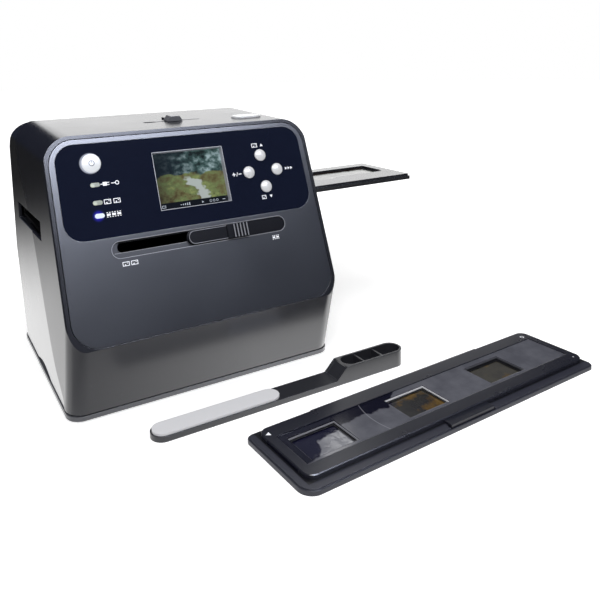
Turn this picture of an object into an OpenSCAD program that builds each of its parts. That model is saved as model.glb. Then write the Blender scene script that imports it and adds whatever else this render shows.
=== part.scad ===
// Film and print scanner with a leaning control panel, an inserted film tray,
// a loose strip holder with a hinged cover, and a cleaning brush.
// Millimetres, +Z up. The origin is the middle of the base, on the table.

/* [Body] */
// Width across the side walls
body_w = 188.6; // [172:0.1:230]
// Height of the top's front edge above the table
body_h = 169; // [166:0.5:203]
// Rise of the top towards the back, degrees
top_rise = 2; // [0.5:0.25:3]
// Front-to-back length of the base
base_d = 151; // [142:1:176]
// Wall thickness of the two housings
wall = 2.4; // [1.8:0.1:3]
// Radius along the two long top edges
top_r = 18; // [12:1:24]
// Radius of the large curve between top and back
back_edge_r = 50; // [36:1:56]
// Radius of the two upright rear corners
rear_r = 9; // [5:1:14]
// How far the back stands out behind the base
back_reach = 19; // [14:0.5:26]
// Height where the leaning back turns upright
knee_z = 60; // [50:0.5:72]
// Step between the front and the rear housing
seam_step = 0.3; // [0.2:0.1:1]
// Width of the shadow gaps between fitted pieces
fit_gap = 0.3; // [0.2:0.05:0.5]

/* [Leaning front] */
// Lean of the control panel back from upright, degrees
panel_lean = 21.25; // [17:0.25:24]
// Height of the chin's edge above the table
chin_z = 48.1; // [43:0.1:54]
// How far the chin stands out in front of the base
chin_reach = 11.5; // [9:0.1:16]
// Radius of the panel's two lower corners
chin_r = 19; // [15:1:26]
// Lean of the skirt under the chin, degrees
skirt_lean = 14.6; // [11:0.1:19]
// Radius of the skirt's two upright corners
skirt_r = 11; // [6:1:16]
// Thickness of the front fascia
fascia_t = 3; // [2.4:0.1:4]
// Width of the housing's rim beside and above the fascia
rim_w = 2.2; // [1.8:0.1:3.2]
// Width of the housing's rim below the fascia
chin_rim = 0.6; // [0.4:0.1:1.4]
// Bevel along the upright edges of the leaning front
edge_cut = 0.8; // [0.4:0.1:1.4]

/* [Control panel] */
// Width of the gloss panel
gloss_w = 174.6; // [160:0.1:176]
// Height of the gloss panel, measured up the slope
gloss_h = 60.4; // [56:0.1:64]
// Corner radius of the gloss panel
gloss_r = 12; // [6:0.5:16]
// Distance from the top edge down to the gloss panel
gloss_drop = 5.8; // [5:0.1:8]
// Thickness of the gloss panel
gloss_t = 1.2; // [0.8:0.1:1.6]
// Width of the screen opening
screen_w = 50; // [46:0.5:54]
// Height of the screen opening
screen_h = 37.9; // [34:0.5:40]
// Depth of the screen below the gloss panel
screen_depth = 4.5; // [3:0.1:5]
// Diameter of the power button
power_d = 12; // [11:0.1:14]
// Diameter of the four round buttons
nav_d = 8.3; // [6:0.1:9]
// Distance from the middle of the four buttons to each one
nav_pitch = 11.3; // [10:0.1:13]
// Travel of the panel buttons
button_travel = 0.6; // [0.3:0.1:1]

/* [Mode slider] */
// Length of the recess for the mode slider
recess_l = 123; // [118:0.5:130]
// Height of the recess
recess_h = 10.2; // [9:0.1:12]
// Depth of the recess
recess_t = 2.2; // [1.8:0.1:2.4]
// Distance from the top edge down to the slider
slider_drop = 74.4; // [72:0.1:78]
// Length of the slider cap
cap_l = 73; // [68:0.5:80]
// Travel of the slider between film and print
slider_travel = 49; // [44:0.5:50]

/* [Base] */
// Height of the base plate
plate_t = 2.8; // [2.6:0.1:4]
// Height of the rubber feet
foot_t = 0.6; // [0.5:0.1:1.5]
// Height of the shadow gap between base and housings
reveal = 0.8; // [0.6:0.1:1.2]
// Width of the print that the base takes
print_w = 153; // [120:1:155]
// Depth of the print that the base takes
print_d = 103; // [85:1:106]
// Length of the finger notch in each side
notch_l = 44; // [36:1:56]
// Height of the finger notch above the base
notch_h = 4; // [3:0.25:8]

/* [Film tray] */
// Length of the film tray
tray_l = 252; // [230:1:260]
// Width of the film tray
tray_w = 70; // [66:0.5:74]
// Thickness of the film tray
tray_t = 4.5; // [4:0.1:5.4]
// Height of the tray's top face
tray_top = 106; // [100:0.5:110]
// How far the tray stands out of the side, measured from the middle
tray_reach = 232; // [200:1:240]
// Width of the tray's long window
tray_window = 27.5; // [25:0.5:30]
// Width of the film strip
film_w = 35; // [34.9:0.1:35.1]

/* [Strip holder] */
// Length of the strip holder
holder_l = 240; // [232:1:256]
// Width of the strip holder
holder_w = 59.5; // [58:0.5:66]
// Height of the holder's base frame
holder_t = 3.4; // [3:0.1:4]
// Height of the holder's cover
cover_t = 2.6; // [2.2:0.1:3]
// Radius of the holder's corners
holder_r = 9; // [6:0.5:12]
// Diameter of the holder's hinge pin
pin_d = 1.6; // [1.2:0.1:2]

/* [Cleaning brush] */
// Length of the brush
brush_l = 184.5; // [170:0.5:210]
// Width of the brush
brush_w = 15; // [13:0.5:18]
// Height of the brush's trough
trough_h = 11.2; // [10:0.1:14]
// Thickness of the brush's blade
blade_t = 3.4; // [2.8:0.1:4]

/* [Hidden] */
$fn = 64;
far = 400;                       // longer than any piece, for half spaces
eps = 0.01;

// ---- places derived from the driving sizes
plate_top = foot_t + plate_t;    // outer top edge of the base plate
house_z = plate_top + reveal;    // lower edge of the housings
front_y = -base_d / 2;
back_y = base_d / 2 + back_reach;
back_lean = atan(back_reach / (knee_z - house_z));
panel_len = (body_h - chin_z) / cos(panel_lean);
panel_top_y = front_y - chin_reach + panel_len * sin(panel_lean);
ledge_t = 2;                     // shelf behind the fascia
fascia_inset = rim_w + fit_gap;
chin_drop = rim_w - chin_rim;    // how much narrower the rim is below the fascia

// ---- control panel places, measured from the middle of the panel's top edge
gloss_v = -gloss_drop - gloss_h / 2;
screen_v = -34.9;
nav_u = 53.6;
nav_v = -36.3;
power_u = -65.3;
power_v = -18.6;
light_u = -64.85;
light_v = [-32.4, -43.7, -51.9];
light_l = 6.2;
light_h = 3;
nav_names = [[0, 1], [0, -1], [-1, 0], [1, 0]];
board_z = -14;                   // front face of the button board
board_t = 1.6;
switch_h = 5;
flange_t = 1;
hole_gap = 0.25;                 // gap all round a button in its hole

// ---- tray channel
tray_y = 28.3;
tray_z = tray_top - tray_t;
axis_y = 33.5;                   // line of sight of the camera
run_gap = 0.3;                   // gap on each side of a piece that slides
channel_w = tray_w + 2 * run_gap;
gate_t = 2.2;
gate_top = tray_z - 0.2;         // face that the tray slides over
gate_wall = 2.2;
gate_l = body_w - 2 * wall - 2 * seam_step - 2 * fit_gap - 2.4;
aperture_w = 60;
aperture_d = 40;
slot_w = tray_w + 17;            // side slot for the tray, with room for fingers
slot_h = tray_t + 6.9;
slot_y = 20.1;
slot_z = tray_z + tray_t / 2 + 1.9;
slot_turn = -2;                  // the slot rises a little towards the front
slot_bevel = 0.8;                // bevel around the slot
notch_y = -2;                    // middle of the finger notches

// ---- backlight carriage
carriage_w = 44;
carriage_d = 36;
carriage_h = 7;
carriage_z = gate_top - gate_t - 0.4 - carriage_h;
rail_t = 2;

// ---- camera
deck_z = 138;
deck_t = 2.5;
lens_d = 18;
bracket_w = 46;

// ---- top controls, measured back from the top's front edge
scan_x = 61;
scan_back = 24.5;
scan_l = 23;
scan_w = 13;
scan_proud = 1.3;
knob_x = 5.8;
knob_back = 33;
knob_slot_l = 43;
knob_slot_x = 4.8;
knob_slot_w = 2.2;
boss_at = [8.5, 46.5];
boss_d = 12;

// ---- loose pieces, where they lie on the table
holder_at = [109.3, -166.7];
holder_turn = 2.74;
brush_at = [-57.3, -112.9];
brush_turn = 0.3;

// ---------------------------------------------------------------- shapes

// Flat rectangle with round corners, centred
module rounded(w, h, r) {
    square([w - 2 * r, h], center = true);
    square([w, h - 2 * r], center = true);
    for (x = [-1, 1], y = [-1, 1])
        translate([x * (w / 2 - r), y * (h / 2 - r)]) circle(r);
}

// Flat racetrack, centred, its length along X
module racetrack(l, w) {
    square([l - w, w], center = true);
    for (x = [-1, 1]) translate([x * (l - w) / 2, 0]) circle(w / 2);
}

// Block whose upper edge is bevelled all round
module bevelled(w, h, r, t, bevel) {
    hull() {
        linear_extrude(t - bevel) rounded(w, h, r);
        linear_extrude(t) rounded(w - 2 * bevel, h - 2 * bevel, r - bevel);
    }
}

// Frame of the leaning panel: X across, Y up the slope, Z out of the face
module on_panel() {
    translate([0, panel_top_y, body_h]) rotate([90 - panel_lean, 0, 0]) children();
}

// Frame of the top: X across, Y back along the rising top, Z out of its face
module on_top() {
    translate([0, panel_top_y, body_h]) rotate([top_rise, 0, 0]) children();
}

// Frame of the strip holder and of the brush, on the table
module on_holder() {
    translate([holder_at[0], holder_at[1], 0]) rotate(holder_turn) children();
}
module on_brush() {
    translate([brush_at[0], brush_at[1], 0]) rotate(brush_turn) children();
}

// A profile drawn in Y and Z, extruded to both sides along X
module along_x(l) {
    rotate([90, 0, 90]) linear_extrude(l, center = true) children();
}

// ---------------------------------------------------------- body outline

// Front view: upright sides and round top edges, g inside, the walls side further
module front_outline(g, side = 0) {
    w = body_w - 2 * g - 2 * side;
    r = top_r - g;
    on_top() rotate([90, 0, 0]) linear_extrude(2 * far, center = true) {
        translate([-w / 2, -far]) square([w, far - g - r]);
        translate([-w / 2 + r, -far]) square([w - 2 * r, far - g]);
        for (x = [-1, 1]) translate([x * (w / 2 - r), -g - r]) circle(r);
    }
}

// Side view: the large curve from the rising top down to the upright back
curve_y = back_y - back_edge_r;
curve_z = body_h + (curve_y - panel_top_y) * tan(top_rise) - back_edge_r / cos(top_rise) + 0.02;
module side_outline(g) {
    along_x(2 * far) {
        translate([-far, -far]) square([far + curve_y - back_edge_r * sin(top_rise), 2 * far]);
        translate([-far, -far]) square([far + back_y - g, far + curve_z]);
        translate([curve_y, curve_z]) circle(back_edge_r - g, $fn = 180);
    }
}

// Plan: round rear corners
module plan_outline(g) {
    w = body_w - 2 * g;
    r = rear_r - g;
    linear_extrude(2 * far, center = true) {
        translate([-w / 2, -far]) square([w, far + back_y - g - r]);
        translate([-w / 2 + r, -far]) square([w - 2 * r, far + back_y - g]);
        for (x = [-1, 1]) translate([x * (w / 2 - r), back_y - g - r]) circle(r);
    }
}

// The panel's outline carried backwards: two round lower corners
module panel_outline(g, side = 0, drop = 0) {
    w = body_w - 2 * g - 2 * side;
    r = chin_r - g;
    low = -panel_len + g - drop;
    translate([-w / 2, low + r]) square([w, far]);
    translate([-w / 2 + r, low]) square([w - 2 * r, far]);
    for (x = [-1, 1]) translate([x * (w / 2 - r), low + r]) circle(r);
}
module panel_prism(g, depth, side = 0, drop = 0) {
    on_panel() translate([0, 0, -far])
        linear_extrude(far - depth) panel_outline(g, side, drop);
}

// Everything behind the two bevels along the upright edges of the leaning front
module edge_bevels() {
    w = body_w / 2 - edge_cut;
    on_panel() rotate([90, 0, 0]) linear_extrude(2 * far, center = true)
        polygon([[-w + 20, 20], [w - 20, 20], [w + far, -far], [-w - far, -far]]);
}

// The skirt under the chin: a leaning prism with round front corners
module skirt_prism(g) {
    w = body_w - 2 * g;
    r = skirt_r - g;
    translate([0, front_y, house_z]) rotate([skirt_lean, 0, 0])
        linear_extrude(2 * far, center = true) {
            translate([-w / 2, g + r]) square([w, far]);
            translate([-w / 2 + r, g]) square([w - 2 * r, far]);
            for (x = [-1, 1]) translate([x * (w / 2 - r), g + r]) circle(r);
        }
}

// Closed body, g inside the outer faces, its front face depth below the panel
module body_form(g, depth, low) {
    intersection() {
        front_outline(g);
        side_outline(g);
        plan_outline(g);
        translate([-far, -far, low]) cube([2 * far, 2 * far, far]);
        on_panel() translate([-far, -far, -far]) cube([2 * far, 2 * far, far - depth]);
        union() {
            panel_prism(g, depth);
            skirt_prism(g);
        }
        back_prism(g);
    }
}

// The back below its knee: a leaning prism with round rear corners
module back_prism(g) {
    w = body_w - 2 * g;
    r = rear_r + 3 - g;
    translate([0, base_d / 2, house_z]) rotate([-back_lean, 0, 0])
        linear_extrude(2 * far, center = true) {
            translate([-w / 2, -far]) square([w, far - g - r]);
            translate([-w / 2 + r, -far]) square([w - 2 * r, far - g]);
            for (x = [-1, 1]) translate([x * (w / 2 - r), -g - r]) circle(r);
        }
}

// Parting line between the housings, seen from the side
function lerp(a, b, t) = a + (b - a) * t;
function curve(a, b, c, t) = lerp(lerp(a, b, t), lerp(b, c, t), t);
seam_points = concat(
    [[-62, -far], [-62, 8.5], [-60.5, 10.9]],
    [for (i = [0:6]) curve([-46, 20.2], [-37.6, 25.6], [-24, 48], i / 6)],
    [for (i = [0:6]) curve([0, 87.6], [10, 104.1], [26, 118], i / 6)],
    [for (i = [0:6]) curve([47, 136.3], [54.5, 142.8], [54.5, 152], i / 6)],
    [[54.5, far]]
);
module front_region(shift) {
    along_x(2 * far) translate([shift, -shift * 0.6])
        polygon(concat(seam_points, [[-far, far], [-far, -far]]));
}

// Side slots for the tray, bevelled outwards, and the notches for the fingers
module side_cuts() {
    for (s = [-1, 1]) translate([s * body_w / 2, slot_y, slot_z]) rotate([slot_turn, 0, 0]) {
        cube([8 * wall, slot_w, slot_h], center = true);
        slot_bevel_cut(s);
    }
    translate([0, notch_y, house_z]) finger_arch();
}

// Truncated wedge that opens outwards, as two crossed trapezia
module slot_bevel_cut(s) {
    b = slot_bevel;
    intersection() {
        linear_extrude(far, center = true)
            polygon([[-s * b, -slot_w / 2], [-s * b, slot_w / 2],
                [s * b, slot_w / 2 + 2 * b], [s * b, -slot_w / 2 - 2 * b]]);
        rotate([90, 0, 0]) linear_extrude(far, center = true)
            polygon([[-s * b, -slot_h / 2], [-s * b, slot_h / 2],
                [s * b, slot_h / 2 + 2 * b], [s * b, -slot_h / 2 - 2 * b]]);
    }
}

// Shallow arch through both side walls
module finger_arch() {
    r = (notch_l * notch_l / 4 + notch_h * notch_h) / (2 * notch_h);
    translate([0, 0, notch_h - r]) rotate([0, 90, 0])
        cylinder(r = r, h = body_w + 10, center = true, $fn = 128);
}

// ---------------------------------------------------------------- base

module base_outline(g) {
    rounded(body_w + 2 * base_proud - 2 * g, base_d - 2 * g, skirt_r - 1 - g);
}

base_proud = 0.2;                // the plate stands out a hair beside the housings
spigot_in = 1.4;                 // from the plate's edge to the spigot inside the walls
spigot_h = 4.6;
spigot_t = 2;
mat_t = 0.8;
well_floor = foot_t + 2;         // floor of the shallow well inside the spigot
foot_at = [80, 62];
foot_d = 12;
module base_plate() {
    inner = wall + fit_gap + spigot_in;
    color("#4a4c4f") difference() {
        union() {
            translate([0, 0, foot_t]) linear_extrude(plate_t) base_outline(0);
            translate([0, 0, foot_t]) linear_extrude(plate_t + reveal) base_outline(spigot_in);
            translate([0, 0, foot_t]) linear_extrude(plate_t + reveal + spigot_h)
                base_outline(inner);
        }
        // well inside the spigot, and the deeper seat for the print mat
        translate([0, 0, well_floor]) linear_extrude(far) base_outline(inner + spigot_t);
        translate([0, 0, well_floor - mat_t]) linear_extrude(far)
            rounded(print_w + 2, print_d + 2, 3);
        // gaps in the spigot behind the finger notches
        translate([0, notch_y, house_z + 5]) cube([2 * far, notch_l - 4, 10 + eps], center = true);
        // grooves under the plate, and the seats of the feet
        for (x = [-1.5:1:1.5], y = [-1, 1]) translate([x * 34, y * foot_at[1], foot_t - eps])
            linear_extrude(0.8) rounded(29, 8, 2);
        for (x = [-1, 1], y = [-1, 1])
            translate([x * foot_at[0], y * foot_at[1], foot_t - eps])
                cylinder(d = foot_d + 0.4, h = 0.9);
    }
}

module print_mat() {
    color("#e8e8e6") translate([0, 0, well_floor - mat_t]) linear_extrude(mat_t)
        rounded(print_w, print_d, 2);
}

module rubber_feet() {
    color("#1c1c1e") for (x = [-1, 1], y = [-1, 1])
        translate([x * foot_at[0], y * foot_at[1], 0]) cylinder(d = foot_d, h = foot_t + 0.8);
}

// ------------------------------------------------------------- housings

module shell(g) {
    difference() {
        intersection() {
            body_form(g, 0, house_z);
            edge_bevels();
        }
        body_form(g + wall, fascia_t + ledge_t, -20);
    }
}

// Seat of the fascia: a pocket as deep as the fascia and an opening behind it
module fascia_seat() {
    intersection() {
        panel_prism(rim_w, -20, edge_cut, chin_drop);
        front_outline(rim_w, edge_cut);
        on_panel() translate([-far, -far, -fascia_t]) cube([2 * far, 2 * far, far]);
    }
    intersection() {
        panel_prism(rim_w + 3, -20, edge_cut, chin_drop);
        front_outline(rim_w + 3, edge_cut);
        on_panel() translate([-far, -far, -fascia_t - ledge_t - 1])
            cube([2 * far, 2 * far, far]);
    }
}

module top_cuts() {
    on_top() {
        translate([scan_x, scan_back, -6]) linear_extrude(20)
            racetrack(scan_l + 0.6, scan_w + 0.6);
        translate([knob_slot_x, knob_back, -6]) linear_extrude(20) {
            square([knob_slot_l, knob_slot_w], center = true);
            translate([-knob_slot_l / 2 + 4.5, 0]) racetrack(9, 4.4);
        }
    }
}

post_d = 6;
top_post_h = 9;
top_posts_x = [-16, 38, 77];
top_post_back = 43;
module front_housing() {
    color("#50535a") {
        difference() {
            union() {
                intersection() {
                    shell(0);
                    front_region(0);
                }
                // low round boss on the top
                on_top() translate([boss_at[0], boss_at[1], -1]) cylinder(d = boss_d, h = 2.2);
            }
            fascia_seat();
            side_cuts();
            top_cuts();
        }
        // posts that carry the top board
        on_top() for (x = top_posts_x) translate([x, top_post_back, -wall - top_post_h])
            cylinder(d = post_d, h = top_post_h + 0.5);
    }
}

shelf_t = 3;
usb_at = [-40, 86];
card_at = [22, 86];
board_posts = [[-62, 72], [62, 72], [-62, 130], [62, 130]];
screw_d = 2.5;
module rear_housing() {
    color("#5a5c61") {
        difference() {
            intersection() {
                shell(seam_step);
                difference() {
                    translate([-far, -far, 0]) cube([2 * far, 2 * far, far]);
                    front_region(fit_gap);
                }
            }
            side_cuts();
            // mouths of the two sockets
            translate([usb_at[0], back_y, usb_at[1]]) cube([9.6, 20, 5.4], center = true);
            translate([card_at[0], back_y, card_at[1]]) cube([27, 20, 4.6], center = true);
        }
        // shelves that carry the film gate
        for (s = [-1, 1])
            translate([s * (gate_l / 2 - 0.6) - 2.4, tray_y + 6, gate_top - gate_t - shelf_t])
                cube([4.8, 28, shelf_t]);
        // posts that carry the main board
        for (p = board_posts) difference() {
            translate([p[0], back_y - seam_step - wall + 0.5, p[1]]) rotate([90, 0, 0])
                cylinder(d = post_d, h = 6.5);
            translate([p[0], board_back - 1, p[1]]) rotate([-90, 0, 0])
                cylinder(d = screw_d + 0.1, h = 6.6);
        }
    }
}

// Screws that hold the main board on its posts
module case_screws() {
    color("#8a8c90") for (p = board_posts) translate([p[0], board_back - main_t, p[1]]) {
        rotate([90, 0, 0]) difference() {
            cylinder(d = 5.4, h = 1.8);
            translate([-2, -0.4, 1]) cube([4, 0.8, 2]);
            translate([-0.4, -2, 1]) cube([0.8, 4, 2]);
        }
        rotate([-90, 0, 0]) cylinder(d = screw_d, h = main_t + 5);
    }
}

// --------------------------------------------------------------- fascia

module front_fascia() {
    color("#5f6169") difference() {
        intersection() {
            panel_prism(fascia_inset, 0, edge_cut, chin_drop);
            front_outline(fascia_inset, edge_cut);
            on_panel() translate([-far, -far, -fascia_t]) cube([2 * far, 2 * far, fascia_t]);
        }
        on_panel() {
            translate([0, gloss_v, -gloss_t - 0.1]) linear_extrude(20)
                rounded(gloss_w, gloss_h, gloss_r);
            translate([0, screen_v, -20]) linear_extrude(40)
                square([screen_w + 8, screen_h + 8], center = true);
            panel_holes(0.6);
            slider_recess();
        }
    }
}

// Holes for the buttons and lights through the panel and fascia
module panel_holes(extra) {
    translate([power_u, power_v, -20]) cylinder(d = power_d + 2 * hole_gap + extra, h = 40);
    for (n = nav_names) translate([nav_u + n[0] * nav_pitch, nav_v + n[1] * nav_pitch, -20])
        cylinder(d = nav_d + 2 * hole_gap + extra, h = 40);
    for (v = light_v) translate([light_u, v, -20]) linear_extrude(40)
        racetrack(light_l + extra, light_h + extra);
}

stem_v = 1.3;                    // the slot lies above the middle of the recess
stem_slot_h = 6;
stem_h = 4;
// Stepped recess: a round-ended tray, a ledge, and the slot for the stem
module slider_recess() {
    translate([0.7, -slider_drop, 0]) {
        translate([0, 0, -recess_t]) linear_extrude(20) racetrack(recess_l, recess_h);
        translate([0, stem_v, -20]) linear_extrude(40) racetrack(recess_l - 8, stem_slot_h);
        // fine groove along the ledge below the slot
        translate([0, -recess_h / 2 + 1.3, -recess_t - 0.4]) linear_extrude(20)
            racetrack(recess_l - 12, 0.5);
    }
}

module control_panel() {
    color("#171b28") on_panel() difference() {
        translate([0, gloss_v, -gloss_t]) linear_extrude(gloss_t)
            rounded(gloss_w - 2 * 0.15, gloss_h - 2 * 0.15, gloss_r - 0.15);
        translate([0, screen_v, -20]) linear_extrude(40)
            square([screen_w + 2 * lip_t + 0.2, screen_h + 2 * lip_t + 0.2], center = true);
        panel_holes(0);
    }
}

lip_t = 0.4;
// Frame behind the gloss panel, with a thin lip that stands up in its opening
module screen_bezel() {
    color("#a9abb3") on_panel() translate([0, screen_v, -screen_depth]) difference() {
        union() {
            linear_extrude(screen_depth - 0.1)
                square([screen_w + 2 * lip_t, screen_h + 2 * lip_t], center = true);
            linear_extrude(screen_depth - gloss_t - 0.15)
                square([screen_w + 7.4, screen_h + 7.4], center = true);
        }
        translate([0, 0, -1]) linear_extrude(screen_depth + 2)
            square([screen_w, screen_h], center = true);
    }
}

module screen_module() {
    color("#2a3038") on_panel() translate([0, screen_v - 1, 0]) {
        translate([-28.5, -22.5, -screen_depth - 2]) cube([57, 45, 2]);
        translate([-25, -20, board_z + 0.1]) cube([50, 40, -board_z - screen_depth - 1.1]);
    }
}

module indicator_windows() {
    color("#cfd4c4") on_panel() for (v = light_v) translate([light_u, v, -fascia_t])
        linear_extrude(fascia_t - 0.1) racetrack(light_l - 0.2, light_h - 0.2);
}

// Board behind the panel, with a switch behind each button and three lamps
module button_board() {
    color("#2f6b45") on_panel() {
        translate([0, gloss_v, board_z - board_t / 2])
            cube([gloss_w - 12, gloss_h - 8, board_t], center = true);
        for (n = nav_names)
            translate([nav_u + n[0] * nav_pitch, nav_v + n[1] * nav_pitch, board_z])
                tact_switch();
        translate([power_u, power_v, board_z]) tact_switch();
        for (v = light_v) translate([light_u, v, board_z - eps])
            translate([-1.5, -1, 0]) cube([3, 2, 1.4]);
    }
}
module tact_switch() {
    translate([-3, -3, -eps]) cube([6, 6, switch_h - 1.5]);
    cylinder(d = 3.4, h = switch_h);
}

// A button: domed cap, collar behind the fascia and a stem to its switch
module button(d, proud, dome) {
    collar_z = -fascia_t - 0.4 - flange_t;
    translate([0, 0, collar_z]) cylinder(d = d + 2, h = flange_t);
    translate([0, 0, collar_z]) cylinder(d = d, h = -collar_z + proud - dome);
    translate([0, 0, proud - dome]) intersection() {
        translate([-d, -d, 0]) cube([2 * d, 2 * d, dome]);
        r = (d * d / 4 + dome * dome) / (2 * dome);
        translate([0, 0, dome - r]) sphere(r = r, $fn = 96);
    }
    stem_low = board_z + switch_h + button_travel + 0.1;
    translate([0, 0, stem_low]) cylinder(d = 4, h = collar_z - stem_low + eps);
}

module power_button() {
    color("#eef0f2") on_panel() translate([power_u, power_v, 0]) button(power_d, 1.1, 0.8);
}
module nav_button(i) {
    color("#dfe0df") on_panel()
        translate([nav_u + nav_names[i][0] * nav_pitch, nav_v + nav_names[i][1] * nav_pitch, 0])
            button(nav_d, 1.9, 1.3);
}
module up_button() { nav_button(0); }
module down_button() { nav_button(1); }
module left_button() { nav_button(2); }
module right_button() { nav_button(3); }

// -------------------------------------------------------- mode slider

cap_u = 0.7 + recess_l / 2 - run_gap - cap_l / 2;
cap_h = recess_h - 2 * run_gap;
grip_u = 25;
arm_u = 25;
arm_w = 26;
arm_z = carriage_z - 5;
arm_t = 2.5;
tongue_x = -20;
tongue_w = 34;

module mode_slider() {
    color("#4b4d54") on_panel() translate([cap_u, -slider_drop, 0]) {
        // low plate along the whole cap
        translate([0, 0, -recess_t + 0.2]) linear_extrude(recess_t - 0.9)
            racetrack(cap_l, cap_h);
        // raised round-ended half
        translate([-cap_l / 2 + 17.6, 0, -recess_t + 0.6]) linear_extrude(recess_t + 0.5)
            racetrack(34, cap_h - 0.6);
        // thumb grip and its ridges
        translate([grip_u - cap_u, 0, -0.8]) linear_extrude(2.9)
            square([16, cap_h - 0.2], center = true);
        for (i = [0:4])
            translate([grip_u - cap_u - 3 + i * 2.4, 0, 2.1])
                cube([1.1, cap_h - 0.2, 1.4], center = true);
        // stem through the slot
        translate([arm_u - cap_u, stem_v, -fascia_t - 2.6]) linear_extrude(fascia_t + 1.6)
            square([arm_w, stem_h], center = true);
    }
}

module backlight_carriage() {
    color("#38393d") {
        // box with a seat for the light panel
        translate([0, axis_y, carriage_z]) difference() {
            linear_extrude(carriage_h) square([carriage_w, carriage_d], center = true);
            translate([0, 0, 2]) linear_extrude(carriage_h)
                square([carriage_w - 4, carriage_d - 4], center = true);
        }
        // runners at both sides
        for (s = [-1, 1]) translate([0, axis_y + s * (carriage_d / 2 + 0.7), carriage_z + 1])
            cube([carriage_w, 1.6, 2], center = true);
        carriage_arm();
    }
}

// Flat arm under the carriage: back into it, across, and forward to a plate
// that meets the slider's stem
module carriage_arm() {
    cross_y = axis_y - carriage_d / 2 - 17;
    seat_n = -fascia_t - 2.6;
    high = panel_point(-slider_drop + 3.4, seat_n - 2);
    low = panel_point(-slider_drop - 3.4, seat_n - 2);
    translate([tongue_x, cross_y, arm_z]) cube([tongue_w, 17 + carriage_d / 2, arm_t]);
    translate([tongue_x, axis_y - carriage_d / 2 + 3, arm_z])
        cube([tongue_w, 14, carriage_z - arm_z + 1]);
    translate([tongue_x, cross_y, arm_z]) cube([arm_u - tongue_x + arm_w / 2, 12, arm_t]);
    translate([arm_u, 0, 0]) along_x(arm_w) polygon([
        [cross_y + 1, arm_z], [cross_y + 1, arm_z + arm_t],
        [high[0] + 7, arm_z + arm_t], high, low, [low[0] + 6, arm_z]
    ]);
    on_panel() translate([arm_u - arm_w / 2 - 1, -slider_drop - 4, seat_n - 3])
        cube([arm_w + 2, 8, 3]);
}

// Y and Z of a point of the panel's middle line, v up the slope and n outwards
function panel_point(v, n) = [
    panel_top_y + v * sin(panel_lean) - n * cos(panel_lean),
    body_h + v * cos(panel_lean) + n * sin(panel_lean)
];

module backlight_panel() {
    color("#f4f5f7") translate([0, axis_y, carriage_z + 2]) linear_extrude(carriage_h - 2.4)
        square([carriage_w - 4.4, carriage_d - 4.4], center = true);
}

// --------------------------------------------------------- top controls

module format_slider() {
    color("#6b6c70") on_top() translate([knob_x, knob_back, 0]) {
        translate([0, 0, 0.2]) rotate([90, 0, 0]) linear_extrude(9, center = true)
            polygon([[-5.6, 0], [5.6, 0], [5.3, 0.8], [3.3, 3.6], [-3.3, 3.6], [-5.3, 0.8]]);
        translate([0, 0, -wall - 1]) linear_extrude(wall + 1.4)
            square([5, knob_slot_w - 0.4], center = true);
        translate([0, 0, -wall - 1.7]) linear_extrude(1.5) racetrack(16, 7);
    }
}

top_board_z = -wall - top_post_h - 1.6;
module scan_button() {
    color("#f0f0f2") on_top() translate([scan_x, scan_back, 0]) {
        translate([0, 0, -wall - 0.4]) linear_extrude(wall + scan_proud)
            racetrack(scan_l, scan_w);
        translate([0, 0, scan_proud - 0.5]) linear_extrude(0.5)
            racetrack(scan_l - 1, scan_w - 1);
        translate([0, 0, -wall - 1.4]) linear_extrude(1.1) {
            racetrack(scan_l - 2, scan_w - 2);
            square([10, scan_w + 3], center = true);
        }
        translate([0, 0, top_board_z + 1.6 + 4.3]) cylinder(d = 4, h = 3.6);
    }
}

module top_board() {
    color("#2f6b45") on_top() {
        translate([-22, 14, top_board_z]) cube([106, 34, 1.6]);
        translate([scan_x, scan_back, top_board_z + 1.6]) {
            translate([-3, -3, -eps]) cube([6, 6, 2]);
            cylinder(d = 3.4, h = 3.4);
        }
        // slide switch under the format slider
        translate([knob_slot_x - 8, knob_back - 3, top_board_z + 1.6 - eps]) cube([16, 6, 5]);
    }
}

// ------------------------------------------------------ gate and camera

gate_half = channel_w / 2 + gate_wall;
module film_gate() {
    color("#2c2d30") {
        difference() {
            translate([0, tray_y, gate_top - gate_t]) along_x(gate_l) gate_profile();
            translate([0, axis_y, gate_top - 10]) linear_extrude(20)
                square([aperture_w, aperture_d], center = true);
        }
        // rails under the gate that carry the backlight
        for (s = [-1, 1])
            translate([-28, axis_y + s * (carriage_d / 2 + 2.9), gate_top - gate_t - 4.5])
                cube([100, rail_t, 9 + eps], center = true);
        for (s = [-1, 1])
            translate([-28, axis_y + s * (carriage_d / 2 + 1.5), carriage_z - 0.6 - eps])
                cube([100, 2.6, 1], center = true);
    }
}
module gate_profile() {
    lip_z = gate_t + tray_t + 0.6;
    translate([-gate_half, 0]) square([2 * gate_half, gate_t]);
    for (s = [-1, 1]) translate([s * (gate_half - gate_wall / 2), (lip_z + 1.8) / 2])
        square([gate_wall, lip_z + 1.8], center = true);
    for (s = [-1, 1]) translate([s * (gate_half - 3), lip_z + 0.9])
        square([6, 1.8], center = true);
}

gate_high = gate_top + tray_t + 0.6 + 1.8;
module camera_bracket() {
    color("#7d8086") translate([0, tray_y, 0]) difference() {
        union() {
            along_x(bracket_w) {
                for (s = [-1, 1]) translate([s * (gate_half - 1.25) - 1.25, gate_high])
                    square([2.5, deck_z + deck_t - gate_high]);
                translate([-gate_half, deck_z]) square([2 * gate_half, deck_t]);
            }
            for (s = [-1, 1]) translate([0, s * (gate_half - 4), gate_high + 1])
                cube([bracket_w, 8, 2], center = true);
        }
        translate([0, axis_y - tray_y, deck_z - 1]) cylinder(d = lens_d + 0.6, h = 10);
    }
}

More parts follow.
